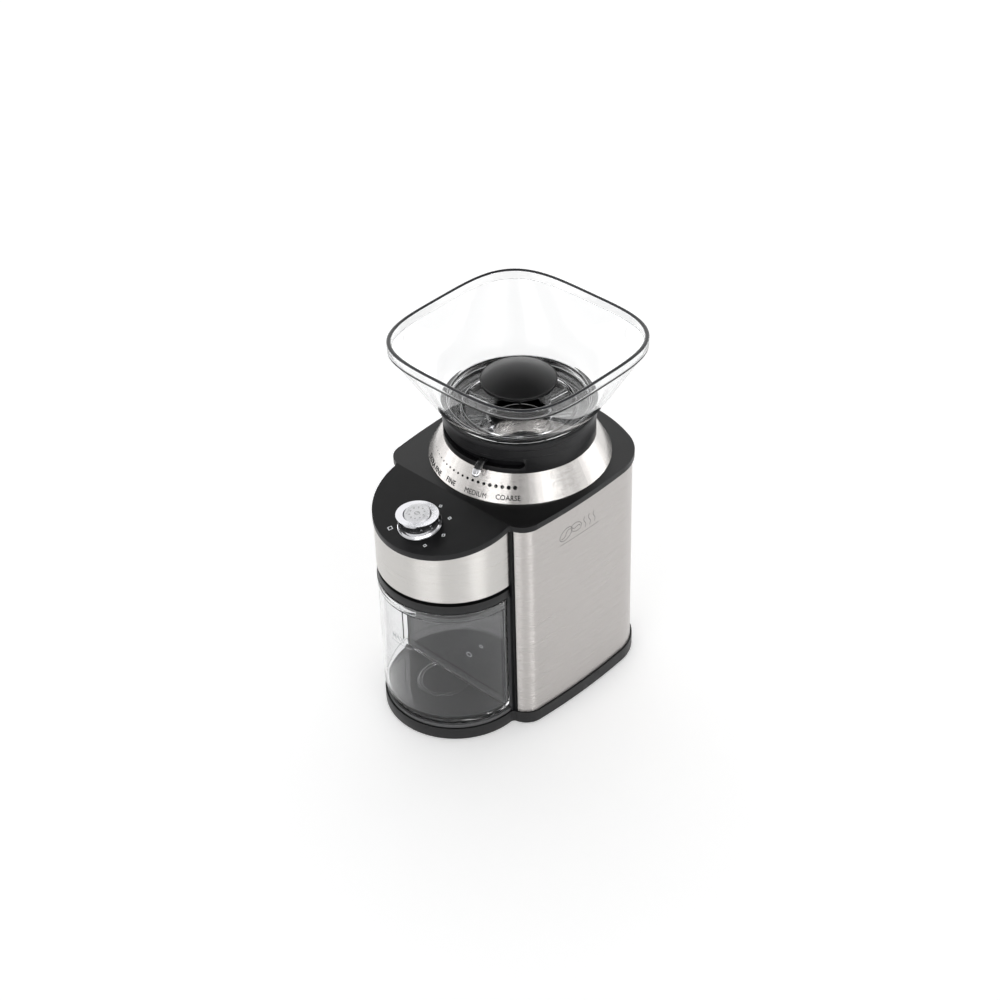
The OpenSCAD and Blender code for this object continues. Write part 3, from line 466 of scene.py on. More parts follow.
def fillet(pts, radii, segs=4):
    """Rounds the corners of an open 2D profile. radii: one per point, 0 keeps it sharp."""
    out = []
    for i, p in enumerate(pts):
        r = radii[i] if isinstance(radii, (list, tuple)) else radii
        if r <= 0 or i in (0, len(pts) - 1):
            out.append(tuple(p))
            continue
        a, b, c = Vector(pts[i - 1]), Vector(p), Vector(pts[i + 1])
        u, v = (a - b), (c - b)
        lu, lv = u.length, v.length
        u.normalize(); v.normalize()
        ang = u.angle(v)
        if ang > pi - 0.02:
            out.append(tuple(p))
            continue
        t = min(r / math.tan(ang / 2), 0.45 * lu, 0.45 * lv)
        rr = t * math.tan(ang / 2)
        q0, q1 = b + u * t, b + v * t
        cen = b + (u + v).normalized() * (rr / sin(ang / 2))
        a0 = atan2(q0[1] - cen[1], q0[0] - cen[0])
        a1 = atan2(q1[1] - cen[1], q1[0] - cen[0])
        d = (a1 - a0 + pi) % (2 * pi) - pi
        for k in range(segs + 1):
            w = a0 + d * k / segs
            out.append((cen[0] + rr * cos(w), cen[1] + rr * sin(w)))
    return out

# ---------------------------------------------------------------- hopper
RX, RY, RZ = 71.6, 70.4, 257.2
NECK, FZ0, FZ1 = 47.6, 210.3, 249.6

def squircle(hx, hy, p, z, n=224):
    out = []
    for k in range(n):
        a = 2 * pi * (k + 0.5) / n
        c, s = abs(cos(a)) / hx, abs(sin(a)) / hy
        r = (c ** p + s ** p) ** (-1 / p)
        out.append((r * cos(a), DIAL_Y + r * sin(a), z))
    return out

def flare(s, inward=0.0):
    """s runs from the neck, 0, to the rim, 1; inward moves along the wall's own normal."""
    t = s * s
    rx, ry = RX - 0.8, RY - 0.8
    dz = 2 * s * (FZ1 - FZ0)
    dr = (rx - NECK)
    ln = sqrt(dr * dr + dz * dz)
    ox, oz = inward * dz / ln, inward * dr / ln
    return (NECK + (rx - NECK) * s - ox, NECK + (ry - NECK) * s - ox, 2 + 1.75 * t ** 2.2, FZ0 + (FZ1 - FZ0) * t + oz)

def make_hopper():
    rings, dark = [], []
    def add(r, is_dark=0):
        rings.append(r); dark.append(is_dark)
    def add_round(prof, is_dark=0):
        for r, z in prof:
            add(squircle(r, r, 2, z), is_dark)
    # outside of the flare, upwards
    add_round([(47.8, 210.0), (47.72, 210.2)])
    ns = 30
    for i in range(ns + 1):
        add(squircle(*flare(i / ns)))
    # rim band: step, wall, round lip, inner wall; d is measured in from the rim
    # the third number marks rows painted dark as painted shade
    rim = [(0.8, 249.6, 0), (0.45, 249.62, 1), (0.12, 249.75, 1), (0.0, 250.05, 0), (0.0, 250.5, 0), (0.0, 253.0, 0), (0.0, 255.9, 0)]
    for d, z, k in rim:
        add(squircle(RX - d, RY - d, 3.75, z), k)
    for k in range(0, 11):
        a = pi * k / 10
        add(squircle(RX - 1.25 + 1.25 * cos(a), RY - 1.25 + 1.25 * cos(a), 3.75, 255.95 + 1.25 * sin(a)), 0 if k > 8 or k < 1 else (2 if k <= 3 else 3))
    for d, z in [(2.5, 253.6), (2.5, 251.6), (2.55, 250.6), (2.75, 249.9)]:
        add(squircle(RX - d, RY - d, 3.75, z))
    for i in range(ns, -1, -1):
        x, y, p, z = flare(i / ns, 1.9)
        add(squircle(x, y, p, z))
    # round neck, sill, funnel and throat, downwards on the inside
    add_round(fillet([(47.2, 212.1), (45.3, 211.6), (45.2, 208.6), (43.6, 207), (36.2, 207), (34.8, 204.2), (18, 199.6), (18, 192),
                      (20, 192), (20, 196.8), (22, 198.6), (35.4, 201.4), (38, 203), (45.8, 203), (45.8, 197.1), (47.8, 197.1), (47.8, 210.0)],
                     [0, 1.2, 1.0, 0.8, 1.0, 1.6, 2.2, 0.4, 0.4, 0.8, 1.2, 1.5, 1.0, 0.5, 0.4, 0.5, 0], 3)[:-1])
    v, f = loft(rings, close=True)
    n = len(rings[0])
    def shade(i, j):
        # painted shade: the step under the rim is painted dark only towards the front right, and the lip's painted
        # dark line is thinner at the back
        turn = math.degrees(2 * pi * (j + 0.5) / n) + 90          # from the front, -Y, towards +X
        near = cos(radians(turn - 44))
        if dark[i] == 1:
            return 1 if near > -0.05 else 0
        if dark[i] == 2:
            return 1 if near > -0.4 else 0
        if dark[i] == 3:
            return 1
        return 0
    idx = [shade(i, j) for i in range(len(rings)) for j in range(n)]
    me = bpy.data.meshes.new("hopper_shell")
    me.from_pydata([tuple(c * MM for c in p) for p in v], [], f)
    me.materials.append(M["clear_plastic"])
    me.materials.append(M["lip_painted_shade"])
    me.polygons.foreach_set("material_index", idx)
    bm = bmesh.new(); bm.from_mesh(me)
    bmesh.ops.recalc_face_normals(bm, faces=bm.faces)
    bm.to_mesh(me); bm.free()
    me.shade_smooth()
    me.set_sharp_from_angle(angle=radians(50))
    o = bpy.data.objects.new("hopper_shell", me)
    sc.collection.objects.link(o)
    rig.ride(o, "hopper_unit")
    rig.slot(o, "clear_plastic")
    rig.replaces(o, "hopper")
    return o
make_hopper()

def prism(name, outline, z0, z1, body, slot, mats=None, rot=0.0, origin=(0, 0), inset=0.25, angle=35):
    """Upright prism with softened top and bottom edges."""
    def ring(d, z):
        pts = []
        n = len(outline)
        for i, p in enumerate(outline):
            a, b, c = Vector(outline[i - 1]), Vector(p), Vector(outline[(i + 1) % n])
            t = ((b - a).normalized() + (c - b).normalized()).normalized()
            nx, ny = t.y, -t.x
            k = 1 / max(0.5, cos((b - a).angle(c - b) / 2)) if (b - a).length and (c - b).length else 1
            x, y = b.x - nx * d * k, b.y - ny * d * k
            pts.append((origin[0] + x * cos(rot) - y * sin(rot), origin[1] + x * sin(rot) + y * cos(rot), z))
        return pts
    rings = [ring(inset, z0), ring(inset * 0.3, z0 + inset * 0.3), ring(0, z0 + inset), ring(0, z1 - inset), ring(inset * 0.3, z1 - inset * 0.3), ring(inset, z1)]
    v, f = loft(rings, close=False)
    return piece(name, v, f, body, slot, mats, angle=angle)

# ribs of the funnel and the four struts under the guard, all clear
for i in range(4):
    a = radians(45 + 90 * i)
    prism(f"guard_strut_{i + 1}", [(-1, -20.4), (1, -20.4), (1, -16.8), (-1, -16.8)], 200.2, 224.35, "hopper_unit", "clear_plastic", rot=a, origin=(0, DIAL_Y), inset=0.2)
def make_rib(i, ang):
    prof = [(35.6, 206.9), (34.9, 204.6), (21.5, 200.9), (21.5, 203.2), (23.0, 204.0), (34.0, 206.9)]
    rings = []
    for x, s in ((-0.7, 0.85), (-0.55, 1.0), (0.55, 1.0), (0.7, 0.85)):
        ring = []
        cx = sum(p[0] for p in prof) / len(prof); cz = sum(p[1] for p in prof) / len(prof)
        for r, z in prof:
            r2, z2 = cx + (r - cx) * (0.985 if s < 1 else 1), cz + (z - cz) * (0.96 if s < 1 else 1)
            lx, ly = x, -r2
            ring.append((lx * cos(ang) - ly * sin(ang), DIAL_Y + lx * sin(ang) + ly * cos(ang), z2))
        rings.append(ring)
    v, f = loft(rings, close=False)
    piece(f"funnel_rib_{i + 1}", v, f, "hopper_unit", "clear_plastic")
for i in range(8):
    make_rib(i, radians(22.5 + 45 * i))

# ---------------------------------------------------------------- grounds container
TUB_R, TUB_Z, TUB_Y = 49.4, 110.1, -41.9
def dee(d, z, rc=4.0, n_arc=120, n_c=10, n_back=30):
    """Outline of the container moved in by d: a round front, a flat back and small round corners."""
    R = TUB_R - d
    yb = TUB_Y - d
    r = max(0.4, rc - d)
    cy = yb - r
    cx = sqrt(max((R - r) ** 2 - (cy - LOBE_Y) ** 2, 1e-6))
    a_end = atan2(cy - LOBE_Y, cx)              # where the front arc meets the corner
    pts = []
    for k in range(n_arc + 1):                  # from the left corner round the front to the right
        a = (-pi - a_end) + (pi + 2 * a_end) * k / n_arc
        pts.append((R * cos(a), LOBE_Y + R * sin(a), z))
    for k in range(1, n_c + 1):
        a = a_end + (pi / 2 - a_end) * k / n_c
        pts.append((cx + r * cos(a), cy + r * sin(a), z))
    for k in range(1, n_back):
        pts.append((cx - 2 * cx * k / n_back, yb, z))
    for k in range(n_c):
        a = pi / 2 + (pi / 2 - a_end) * k / n_c
        pts.append((-cx + r * cos(a), cy + r * sin(a), z))
    return pts

def make_container():
    # profile up the outside and down the inside: (moved in from the outline, height, painted shade)
    outer = fillet([(6.5, 13.62), (2.3, 13.62), (2.2, 15.6), (0.25, 19.0), (0.25, 21.4)], [0, 0.7, 0.6, 2.4, 0], 5)
    prof = [(d, z, 0) for d, z in outer]
    prof += [(0.42, 21.55, 1), (0.42, 21.95, 0), (0.05, 22.2, 0), (0.0, 23.0, 0), (0.0, 60.0, 0), (0.0, 103.1, 0), (0.22, 103.3, 1), (0.22, 103.8, 1), (-0.2, 104.0, 0),
             (-0.28, 104.3, 0), (-0.28, 109.6, 0), (-0.1, 109.95, 0), (0.3, 110.1, 0), (1.3, 110.1, 0), (1.85, 109.85, 0), (2.0, 109.3, 0), (2.0, 104.4, 0), (2.0, 60.0, 0)]
    prof += [(d, z, 0) for d, z in fillet([(2.0, 40.0), (2.0, 17.8), (11.0, 17.8)], [0, 5.5, 0], 8)]
    rings = [dee(d, z) for d, z, k in prof]
    v, f = loft(rings, close=False, cap=True)
    n = len(rings[0])
    idx = []
    for i in range(len(rings) - 1):
        for j in range(n):
            # painted shade: the dark rows at the steps and two upright strips near the corners stand in for the dark
            # lines that refraction draws in the clear wall
            upright = 23 <= prof[i][1] <= 103 and prof[i][0] < 1 and prof[i + 1][0] < 1
            idx.append(1 if prof[i][2] or (upright and j in (1, 118)) else 0)
    idx += [0, 0]
    o = piece("container_shell", v, f, "container_unit", "clear_plastic", [M["tub_clear"], M["lip_painted_shade"]], idx, angle=40)
    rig.replaces(o, "grounds_container")
    return o
make_container()

def torus_arc(name, centre, R, r, z, a0, a1, body, slot, n=72, m=10, squash=0.7, mats=None):
    rings = []
    for k in range(n + 1):
        a = a0 + (a1 - a0) * k / n
        t = min(1.0, 6 * min(k, n - k) / n + 0.05)
        ring = []
        for j in range(m):
            b = 2 * pi * j / m
            q = R + r * t * cos(b)
            ring.append((centre[0] + q * cos(a), centre[1] + q * sin(a), z + r * t * squash * sin(b)))
        rings.append(ring)
    v, f = loft(rings, close=False)
    return piece(name, v, f, body, slot, mats)

# two rings moulded on the container's floor
torus_arc("floor_ring_outer", (-3, -53.5), 17.6, 0.8, 18.0, 0, 2 * pi - 0.001, "container_unit", "clear_plastic")
torus_arc("floor_ring_inner", (-3, -53.5), 15.2, 0.6, 18.0, 0, 2 * pi - 0.001, "container_unit", "clear_plastic")

# ---------------------------------------------------------------- marks on the dial cone
def cone_point(ang, t, lift=0.04):
    """ang in degrees from the front towards +X, t from the cone's outer edge, 0, to its inner edge, 1."""
    r = 60.3 + (50.5 - 60.3) * t
    z = 168.9 + (186.0 - 168.9) * t
    ln = sqrt(9.8 ** 2 + 17.1 ** 2)
    nr, nz = 17.1 / ln, 9.8 / ln
    r += nr * lift; z += nz * lift
    a = radians(ang)
    return (r * sin(a), DIAL_Y - r * cos(a), z)

def on_cone(x, y, ang0, t0, lift):
    """Local mark plane, x to the right round the cone and y up its slope, in millimetres."""
    ln = sqrt(9.8 ** 2 + 17.1 ** 2)
    t = t0 + y / ln
    r = 60.3 - 9.8 * t0
    return cone_point(ang0 + math.degrees(x / r), t, lift)

def ink_disc(name, ang, t, rad, hole=0.0, n=28):
    top, low = 0.09, -0.06
    rings = []
    if hole:
        spec = [(hole, low), (hole, top), (rad, top), (rad, low)]
        for q, h in spec:
            rings.append([on_cone(q * cos(2 * pi * k / n), q * sin(2 * pi * k / n), ang, t, h) for k in range(n)])
        v, f = loft(rings, close=True)
    else:
        spec = [(rad * 0.5, low), (rad, low), (rad, top * 0.7), (rad * 0.93, top), (rad * 0.5, top)]
        for q, h in spec:
            rings.append([on_cone(q * cos(2 * pi * k / n), q * sin(2 * pi * k / n), ang, t, h) for k in range(n)])
        v, f = loft(rings, close=False)
    return piece(name, v, f, "housing", "satin_black", [M["ink_black"]], angle=60)

for i in range(-1, 18):
    ang = 3 + 4.3 * (i - 8.5)
    if i in (13, 14, 15):
        ink_disc(f"scale_dot_{i + 2:02d}", ang, 0.54, 1.2, 0.2)
    else:
        ink_disc(f"scale_dot_{i + 2:02d}", ang, 0.54, 0.38 + 0.056 * i if i < 16 else 1.35)

def letters(word, size, name, body, slot, mat, place, depth=0.06, spacing=1.0, bold=0.0):
    """A generic printed word as thin raised ink; place maps (x, y, lift) in mm onto the surface."""
    cu = bpy.data.curves.new(name, "FONT")
    cu.body = word
    cu.size = size
    cu.space_character = spacing
    cu.align_x = "CENTER"
    cu.align_y = "CENTER"
    cu.offset = bold
    cu.resolution_u = 3
    tmp = bpy.data.objects.new(name + "_tmp", cu)
    sc.collection.objects.link(tmp)
    bpy.context.view_layer.update()
    me0 = bpy.data.meshes.new_from_object(tmp)
    bpy.data.objects.remove(tmp)
    bm = bmesh.new()
    bm.from_mesh(me0)
    bmesh.ops.remove_doubles(bm, verts=bm.verts, dist=1e-4)
    bmesh.ops.subdivide_edges(bm, edges=[e for e in bm.edges if e.calc_length() > 0.9], cuts=1)
    r = bmesh.ops.extrude_face_region(bm, geom=list(bm.faces))
    for e in r["geom"]:
        if isinstance(e, bmesh.types.BMVert):
            e.co.z = 1.0
    bmesh.ops.recalc_face_normals(bm, faces=bm.faces)
    for v in bm.verts:
        x, y, up = v.co.x, v.co.y, v.co.z > 0.5
        v.co = Vector(place(x, y, depth if up else -0.06)) * MM
    me = bpy.data.meshes.new(name)
    bmesh.ops.recalc_face_normals(bm, faces=bm.faces)
    bm.to_mesh(me)
    bm.free()
    me.materials.append(mat)
    o = bpy.data.objects.new(name, me)
    sc.collection.objects.link(o)
    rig.ride(o, body)
    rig.slot(o, slot)
    return o

for word, ang, t0, size in (("EXTRA FINE", -28.5, 0.12, 4.7), ("FINE", -6.8, 0.16, 4.7), ("MEDIUM", 13.4, 0.155, 4.7), ("COARSE", 35.1, 0.19, 4.7)):
    letters(word, size, "word_" + word.lower().replace(" ", "_"), "housing", "satin_black", M["ink_black"],
            lambda x, y, h, a=ang, t=t0: on_cone(0.9 * x, y, a, t, h), 0.1, 1.04, 0.0 if word == "MEDIUM" else 0.06)

# ---------------------------------------------------------------- marks on the sloping panel
KC = Vector((1.0, -40.8 - 31.33 * cos(SLOPE), 168.2 - 31.33 * sin(SLOPE)))
UX, UY, UZ = Vector((1, 0, 0)), Vector((0, cos(SLOPE), sin(SLOPE))), Vector((0, -sin(SLOPE), cos(SLOPE)))
def on_panel(x, y, h):
    return tuple(KC + UX * x + UY * y + UZ * h)

def frame_mark(name, ang, rad, w, h, line, turn=0.0):
    """Open rectangle printed on the panel, upright towards the knob."""
    a = radians(ang)
    cx, cy = rad * sin(a), -rad * cos(a)
    tu = a + radians(turn)
    def at(x, y, lift):
        return on_panel(cx + x * cos(tu) - y * sin(tu), cy + x * sin(tu) + y * cos(tu), lift)
    def rect(q, lift):
        hw, hh, c = w / 2 - q, h / 2 - q, 0.25
        pts = []
        for sx, sy, a0 in ((1, 1, 0), (-1, 1, 90), (-1, -1, 180), (1, -1, 270)):
            for k in range(4):
                b = radians(a0 + 30 * k)
                rr = max(0.05, c - q * 0.3)
                pts.append(at(sx * (hw - rr) + rr * cos(b), sy * (hh - rr) + rr * sin(b), lift))
        return pts
    v, f = loft([rect(line, -0.03), rect(line, 0.04), rect(0, 0.04), rect(0, -0.03)], close=True)
    return piece(name, v, f, "housing", "satin_black", [M["ink_white"]], angle=60)

frame_mark("panel_mark_1", -47, 19.4, 3.0, 3.0, 0.5, 20)
frame_mark("panel_mark_2", 53, 19.2, 2.1, 2.1, 0.50, 25)
frame_mark("panel_mark_3", 95, 19.2, 2.2, 2.2, 0.52, 30)
frame_mark("panel_mark_4", 140, 19.2, 2.2, 2.2, 0.60, 25)
frame_mark("panel_mark_5", 180, 19.2, 2.1, 2.1, 0.62, 25)

# ---------------------------------------------------------------- fine lines and marks
def stroke(name, pts, width, place, body, slot, mats, closed=False, lift=0.05, sink=-0.03):
    """A thin raised line along 2D points; place maps (x, y, lift) in mm onto a surface."""
    rings = []
    n = len(pts)
    for i, p in enumerate(pts):
        a = pts[(i - 1) % n] if closed or i else p
        b = pts[(i + 1) % n] if closed or i < n - 1 else p
        t = Vector((b[0] - a[0], b[1] - a[1])).normalized()
        nx, ny = -t.y * width / 2, t.x * width / 2
        ring = []
        for k, h in ((-1, sink), (-0.75, lift), (0.75, lift), (1, sink)):
            ring.append(place(p[0] + nx * k, p[1] + ny * k, h))
        rings.append(ring)
    v, f = loft(rings, close=closed)
    return piece(name, v, f, body, slot, mats, angle=70)

def oval(cx, cy, rx, ry, turn=0.0, n=40, a0=0.0, a1=360.0, full=True):
    t = radians(turn)
    out = []
    m = n if full else n + 1
    for k in range(m):
        a = radians(a0 + (a1 - a0) * k / n)
        x, y = rx * cos(a), ry * sin(a)
        out.append((cx + x * cos(t) - y * sin(t), cy + x * sin(t) + y * cos(t)))
    return out

def line(p, q, n=8):
    return [(p[0] + (q[0] - p[0]) * k / n, p[1] + (q[1] - p[1]) * k / n) for k in range(n + 1)]

def bean(name, cx, cy, size, turn, width, place, body, slot, mats, **kw):
    """Generic coffee bean: an outline and the crease down its middle."""
    t = radians(turn)
    stroke(name + "_outline", oval(cx, cy, size * 0.62, size * 0.42, turn, 44), width, place, body, slot, mats, closed=True, **kw)
    crease = []
    for k in range(21):
        u = -1 + 2 * k / 20
        x, y = size * 0.5 * u, size * 0.13 * sin(pi * u)
        crease.append((cx + x * cos(t) - y * sin(t), cy + x * sin(t) + y * cos(t)))
    stroke(name + "_crease", crease, width, place, body, slot, mats, **kw)

# etched mark on the steel's right side
from mathutils.bvhtree import BVHTree
wrap = NODES["steel_wrap"].data
wrap_tree = BVHTree.FromPolygons([NODES["steel_wrap"].matrix_world @ v.co for v in wrap.vertices], [tuple(p.vertices) for p in wrap.polygons])
def on_side(x, y, h):
    hit = wrap_tree.ray_cast(Vector((0.2, (11.5 + x) * MM, (145 + y) * MM)), Vector((-1, 0, 0)))
    p = hit[0] / MM
    return (p.x + h, p.y, p.z)
bean("side_mark_bean", -13.5, 0.3, 9.5, 28, 0.55, on_side, "housing", "brushed_steel", [M["ink_etch"]], lift=0.03)
bean("side_mark_bean_2", -4.0, 1.2, 8.0, -18, 0.5, on_side, "housing", "brushed_steel", [M["ink_etch"]], lift=0.03)
for i, dx in enumerate((4.0, 8.5, 13.0)):
    wave = [(dx + 1.0 * sin(2 * pi * k / 16), -4.0 + 9.0 * k / 16) for k in range(17)]
    stroke(f"side_mark_steam_{i + 1}", wave, 0.5, on_side, "housing", "brushed_steel", [M["ink_etch"]], lift=0.03)
stroke("side_mark_line", line((-19, -6.6), (17.5, -6.6), 24), 0.4, on_side, "housing", "brushed_steel", [M["ink_etch"]], lift=0.03)

# moulded marks on the container
def on_tub(x, y, h):
    a = x / TUB_R
    return ((TUB_R + h) * sin(a), LOBE_Y - (TUB_R + h) * cos(a), y)
def on_rim(x, y, h):
    a = x / TUB_R
    return ((TUB_R + 0.28 + h) * sin(a), LOBE_Y - (TUB_R + 0.28 + h) * cos(a), y)
deg = TUB_R * pi / 180
stroke("container_max_line", line((-11.6 * deg, 74.4), (10.3 * deg, 74.4), 24), 0.42, on_tub, "container_unit", "clear_plastic", [M["ink_frost"]], lift=0.12)
letters("MAX", 5.4, "container_max_word", "container_unit", "clear_plastic", M["ink_frost"],
        lambda x, y, h: on_tub(x - 3.6 * deg, y + 78.6, h), 0.1, 1.0, 0.02)
tab = line((1.3 * deg, 109.4), (1.3 * deg, 106.4), 4) + [(1.9 * deg, 105.4), (3.0 * deg, 104.9)] + line((4.0 * deg, 104.8), (13.2 * deg, 104.8), 14) + \
    [(14.4 * deg, 105.0), (15.4 * deg, 105.8)] + line((15.8 * deg, 106.6), (15.8 * deg, 109.4), 4)
stroke("container_thumb_tab", tab, 0.45, on_rim, "container_unit", "clear_plastic", [M["ink_frost"]], lift=0.2)
def on_back(x, y, h):
    return (x, TUB_Y - 2.0 - h, y)
for i, (x, y, w) in enumerate(((12.4, 41.6, 2.3), (24.0, 55.4, 1.5))):
    stroke(f"container_gate_{i + 1}", oval(x, y, w, w * 0.7, 20, 20), 0.5, on_back, "container_unit", "clear_plastic", [M["ink_frost"]], closed=True, lift=0.15)

# glossy beads where the hopper's neck meets its sill; their near-white colour is a painted highlight, so they show as
# thin bright rings
torus_arc("neck_bead_upper", (0, DIAL_Y), 46.3, 0.3, 212.1, 0, 2 * pi - 0.0005, "hopper_unit", "clear_plastic", 160, 8, 1.0, [M["bead_painted_highlight"]])
torus_arc("neck_bead_lower", (0, DIAL_Y), 44.9, 0.28, 208.2, 0, 2 * pi - 0.0005, "hopper_unit", "clear_plastic", 160, 8, 1.0, [M["bead_painted_highlight"]])
torus_arc("funnel_bead", (0, DIAL_Y), 36.6, 0.24, 207.15, 0, 2 * pi - 0.0005, "hopper_unit", "clear_plastic", 140, 8, 1.0, [M["bead_painted_highlight"]])

# small marks round the cap of the start button
def on_cap(x, y, h):
    return on_panel(x, y, 10.8 + h)
for k in range(10):
    a = 36 * k + 12
    stroke(f"button_mark_{k + 1:02d}", oval(4.9 * cos(radians(a)), 4.9 * sin(radians(a)), 0.42, 0.42, 0, 12), 0.22, on_cap, "start_key", "chrome_button", [M["ink_etch"]], closed=True, lift=0.03)
bean("button_bean", 0.2, 0.0, 2.9, 35, 0.26, on_cap, "start_key", "chrome_button", [M["ink_etch"]], lift=0.03)

# ticks of the hopper's lock on its neck
def on_neck(x, y, h):
    a = x / 47.8
    return ((47.8 + h) * sin(a), DIAL_Y - (47.8 + h) * cos(a), y)
for k in range(6):
    x = (NECK_TICK + 2.2 * (k - 2.5)) * 47.8 * pi / 180
    stroke(f"neck_tick_{k + 1}", line((x, 208.3), (x, 209.7), 3), 0.55, on_neck, "hopper_unit", "clear_plastic", [M["ink_black"]], lift=0.06)

# ---------------------------------------------------------------- lever, as a moulded blade with a chrome cap
LEVER = radians(14)
def lever_section(r, z, tilt, w, t, p=3.2, n=36, side=0.0):
    """Rounded section across the lever: w round the dial, t through its thickness."""
    ring = []
    for k in range(n):
        a = 2 * pi * (k + 0.5) / n
        q = (abs(cos(a)) ** p + abs(sin(a)) ** p) ** (-1 / p)
        x, y = q * cos(a) * w / 2, q * sin(a) * t / 2
        rr, zz = r - sin(radians(tilt)) * y, z + cos(radians(tilt)) * y
        lx, ly = x + side, -rr
        ring.append((lx * cos(LEVER) - ly * sin(LEVER), DIAL_Y + lx * sin(LEVER) + ly * cos(LEVER), zz))
    return ring
blade = [(43.72, 192.1, 0, 4.4, 4.0), (43.75, 192.1, 0, 5.0, 4.6), (50.3, 192.05, -2, 5.0, 4.4), (51.7, 191.85, -12, 5.0, 4.25), (53.0, 191.3, -26, 5.0, 4.1), (54.2, 190.5, -38, 5.0, 3.95),
         (55.2, 189.5, -47, 5.0, 3.8), (56.6, 187.9, -52, 5.0, 3.7)]
lean = {50.3: 0.9, 51.7: 0.9, 53.0: 0.6, 54.2: 0.35, 55.2: 0.15}
v, f = loft([lever_section(*q, side=lean.get(q[0], 0.0)) for q in blade], close=False)
o = piece("lever_blade", v, f, "grind_adjuster", "satin_black", [M["gloss_black"]], angle=50)
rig.replaces(o, "grind_lever")
cap = [(55.75, 188.95, -51, 4.6, 3.4), (55.8, 188.9, -51, 5.3, 4.0), (56.1, 188.55, -51, 5.45, 4.15), (57.4, 187.0, -50, 5.5, 4.1), (58.2, 186.05, -49, 5.3, 3.85),
       (58.75, 185.4, -49, 4.6, 3.2), (59.1, 185.0, -49, 3.3, 2.1), (59.22, 184.86, -49, 1.4, 0.8)]
v, f = loft([lever_section(*q, p=2.6) for q in cap], close=False)
o = piece("lever_cap", v, f, "grind_adjuster", "chrome_trim", angle=50)
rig.replaces(o, "lever_tip")
def on_blade(x, y, h):
    """x round the dial, y down the sloping top of the blade."""
    c, s_ = cos(radians(-44)), sin(radians(-44))
    r, z = 54.85 + y * c - (2.0 + h) * s_, 189.9 + y * s_ + (2.0 + h) * c
    return (x * cos(LEVER) + r * sin(LEVER), DIAL_Y + x * sin(LEVER) - r * cos(LEVER), z)
stroke("lever_oval", oval(0, -0.2, 1.15, 1.7, 0, 28), 0.4, on_blade, "grind_adjuster", "satin_black", [M["gloss_black"]], closed=True, lift=0.12, sink=-0.3)

for name, width in (("top_cover", 0.45), ("base_plate", 0.5), ("hopper_collar", 0.3), ("container_lid", 0.3)):
    bevel(name, width)

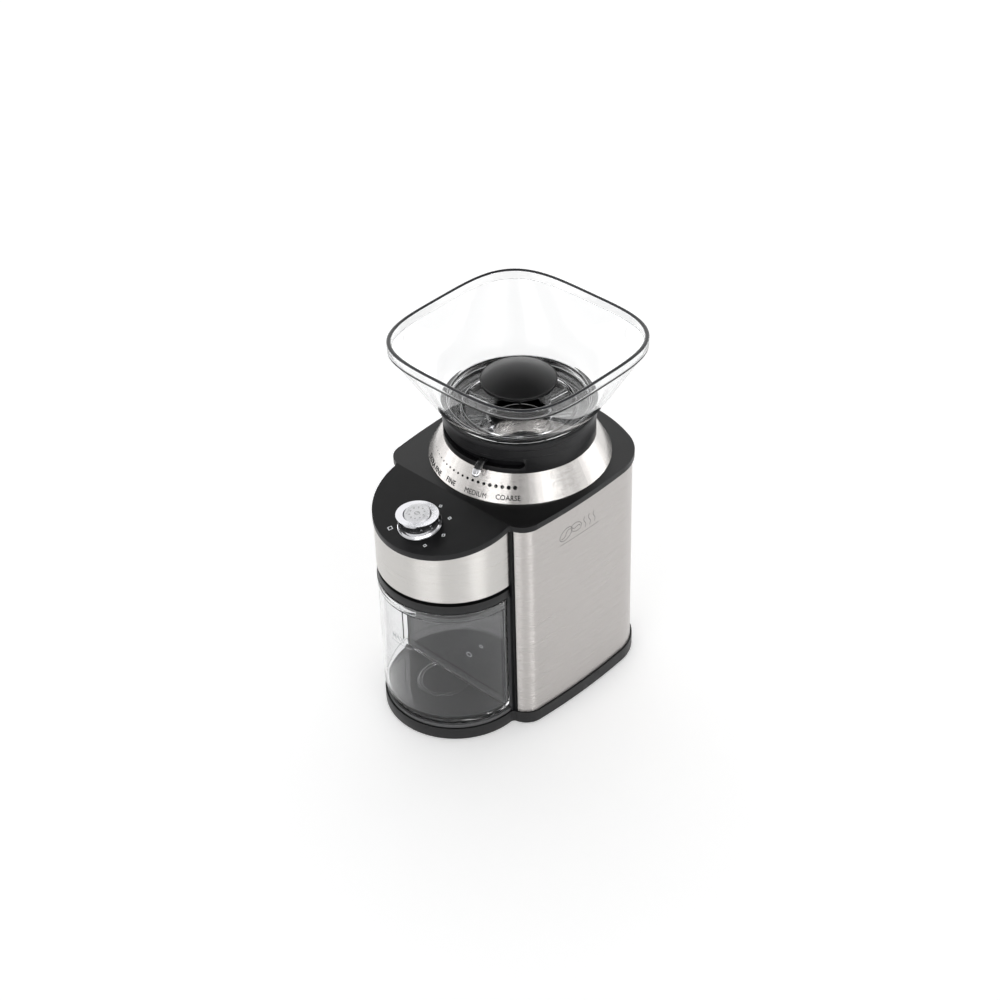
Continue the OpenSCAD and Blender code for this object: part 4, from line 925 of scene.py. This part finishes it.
# ---------------------------------------------------------------- floor, light
def make_stage():
    me = bpy.data.meshes.new("floor")
    s = 6.0
    n = 8
    verts = [(-s + 2 * s * i / n, -s + 2 * s * j / n, 0) for j in range(n + 1) for i in range(n + 1)]
    faces = [(j * (n + 1) + i, j * (n + 1) + i + 1, (j + 1) * (n + 1) + i + 1, (j + 1) * (n + 1) + i) for j in range(n) for i in range(n)]
    me.from_pydata(verts, [], faces)
    o = bpy.data.objects.new("floor", me)
    sc.collection.objects.link(o)
    m = Mat("pale_floor", (0.93, 0.93, 0.93), 0.6)
    m.p.inputs["Emission Color"].default_value = (1, 1, 1, 1)
    m.p.inputs["Emission Strength"].default_value = 0.36
    m.vary(m.noise(m.coord(), 4, 2), 0.004)
    me.materials.append(m.m)
    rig.stage(o)
    w = bpy.data.worlds.new("studio")
    sc.world = w
    w.use_nodes = True
    nt = w.node_tree
    bg = nt.nodes["Background"]
    tc = nt.nodes.new("ShaderNodeTexCoord")
    sep = nt.nodes.new("ShaderNodeSeparateXYZ")
    nt.links.new(tc.outputs["Generated"], sep.inputs[0])
    def mth(op, a, b=None):
        q = nt.nodes.new("ShaderNodeMath"); q.operation = op
        for i, v in enumerate((a, b)):
            if v is None: continue
            if isinstance(v, (int, float)): q.inputs[i].default_value = v
            else: nt.links.new(v, q.inputs[i])
        return q.outputs[0]
    # angle from the front (-Y) towards +X, as 0..1 from -180 to 180 degrees
    neg = mth("MULTIPLY", sep.outputs["Y"], -1.0)
    ang = mth("ARCTAN2", sep.outputs["X"], neg)
    u = mth("ADD", mth("DIVIDE", ang, 2 * pi), 0.5)
    ramp = nt.nodes.new("ShaderNodeValToRGB")
    nt.links.new(u, ramp.inputs["Fac"])
    stops = [(-180, 1.1), (-110, 1.15), (-75, 0.88), (-50, 0.82), (-18, 0.62), (-2, 0.55), (1, 1.15), (27, 1.15), (31, 0.42), (46, 0.4), (53, 0.6),
             (60, 0.75), (66, 1.2), (78, 1.25), (84, 0.9), (92, 0.8), (104, 0.66), (118, 0.48), (150, 0.48), (168, 0.8), (180, 1.1)]
    def fill(node, stops, scale):
        e = node.color_ramp.elements
        while len(e) < len(stops):
            e.new(0.5)
        for i, (a, v) in enumerate(stops):
            e[i].position = scale(a)
            e[i].color = (v, v, v, 1)
    fill(ramp, [(a, v / 1.5) for a, v in stops], lambda a: (a + 180) / 360)
    # two upright softboxes
    box = nt.nodes.new("ShaderNodeValToRGB")
    nt.links.new(u, box.inputs["Fac"])
    fill(box, [(-8, 0.12), (-5, 0.62), (27, 0.62), (30, 0.2), (69, 0.25), (72, 1), (90, 1), (93, 0.22)], lambda a: (a + 180) / 360)
    z = sep.outputs["Z"]
    high = nt.nodes.new("ShaderNodeValToRGB")          # the ceiling is darker than the sides
    nt.links.new(z, high.inputs["Fac"])
    fill(high, [(0.0, 1.0), (0.1, 0.95), (0.16, 0.76), (0.42, 0.76), (0.52, 0.92), (0.62, 0.98), (0.69, 0.8), (0.77, 0.36), (0.88, 0.16), (1.0, 0.12)], lambda a: a)
    low = nt.nodes.new("ShaderNodeMapRange")           # the softboxes are strongest near the table
    low.inputs["From Min"].default_value = 0.08
    low.inputs["From Max"].default_value = 0.16
    low.inputs["To Min"].default_value = 9.0
    low.inputs["To Max"].default_value = 0.0
    nt.links.new(z, low.inputs["Value"])
    total = mth("ADD", mth("MULTIPLY", ramp.outputs["Color"], 1.5), mth("MULTIPLY", box.outputs["Color"], low.outputs[0]))
    total = mth("MULTIPLY", total, high.outputs["Color"])
    nt.links.new(total, bg.inputs["Color"])
    bg.inputs["Strength"].default_value = 1.48
make_stage()

# ---------------------------------------------------------------- sizes and end
box1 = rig.bounds()
flat = lambda b: [[float(x) for x in c] for c in b]
try:
    json.dump({"cad_box": flat(box0), "visual_box": flat(box1)}, open("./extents.json", "w"))
except OSError:
    pass
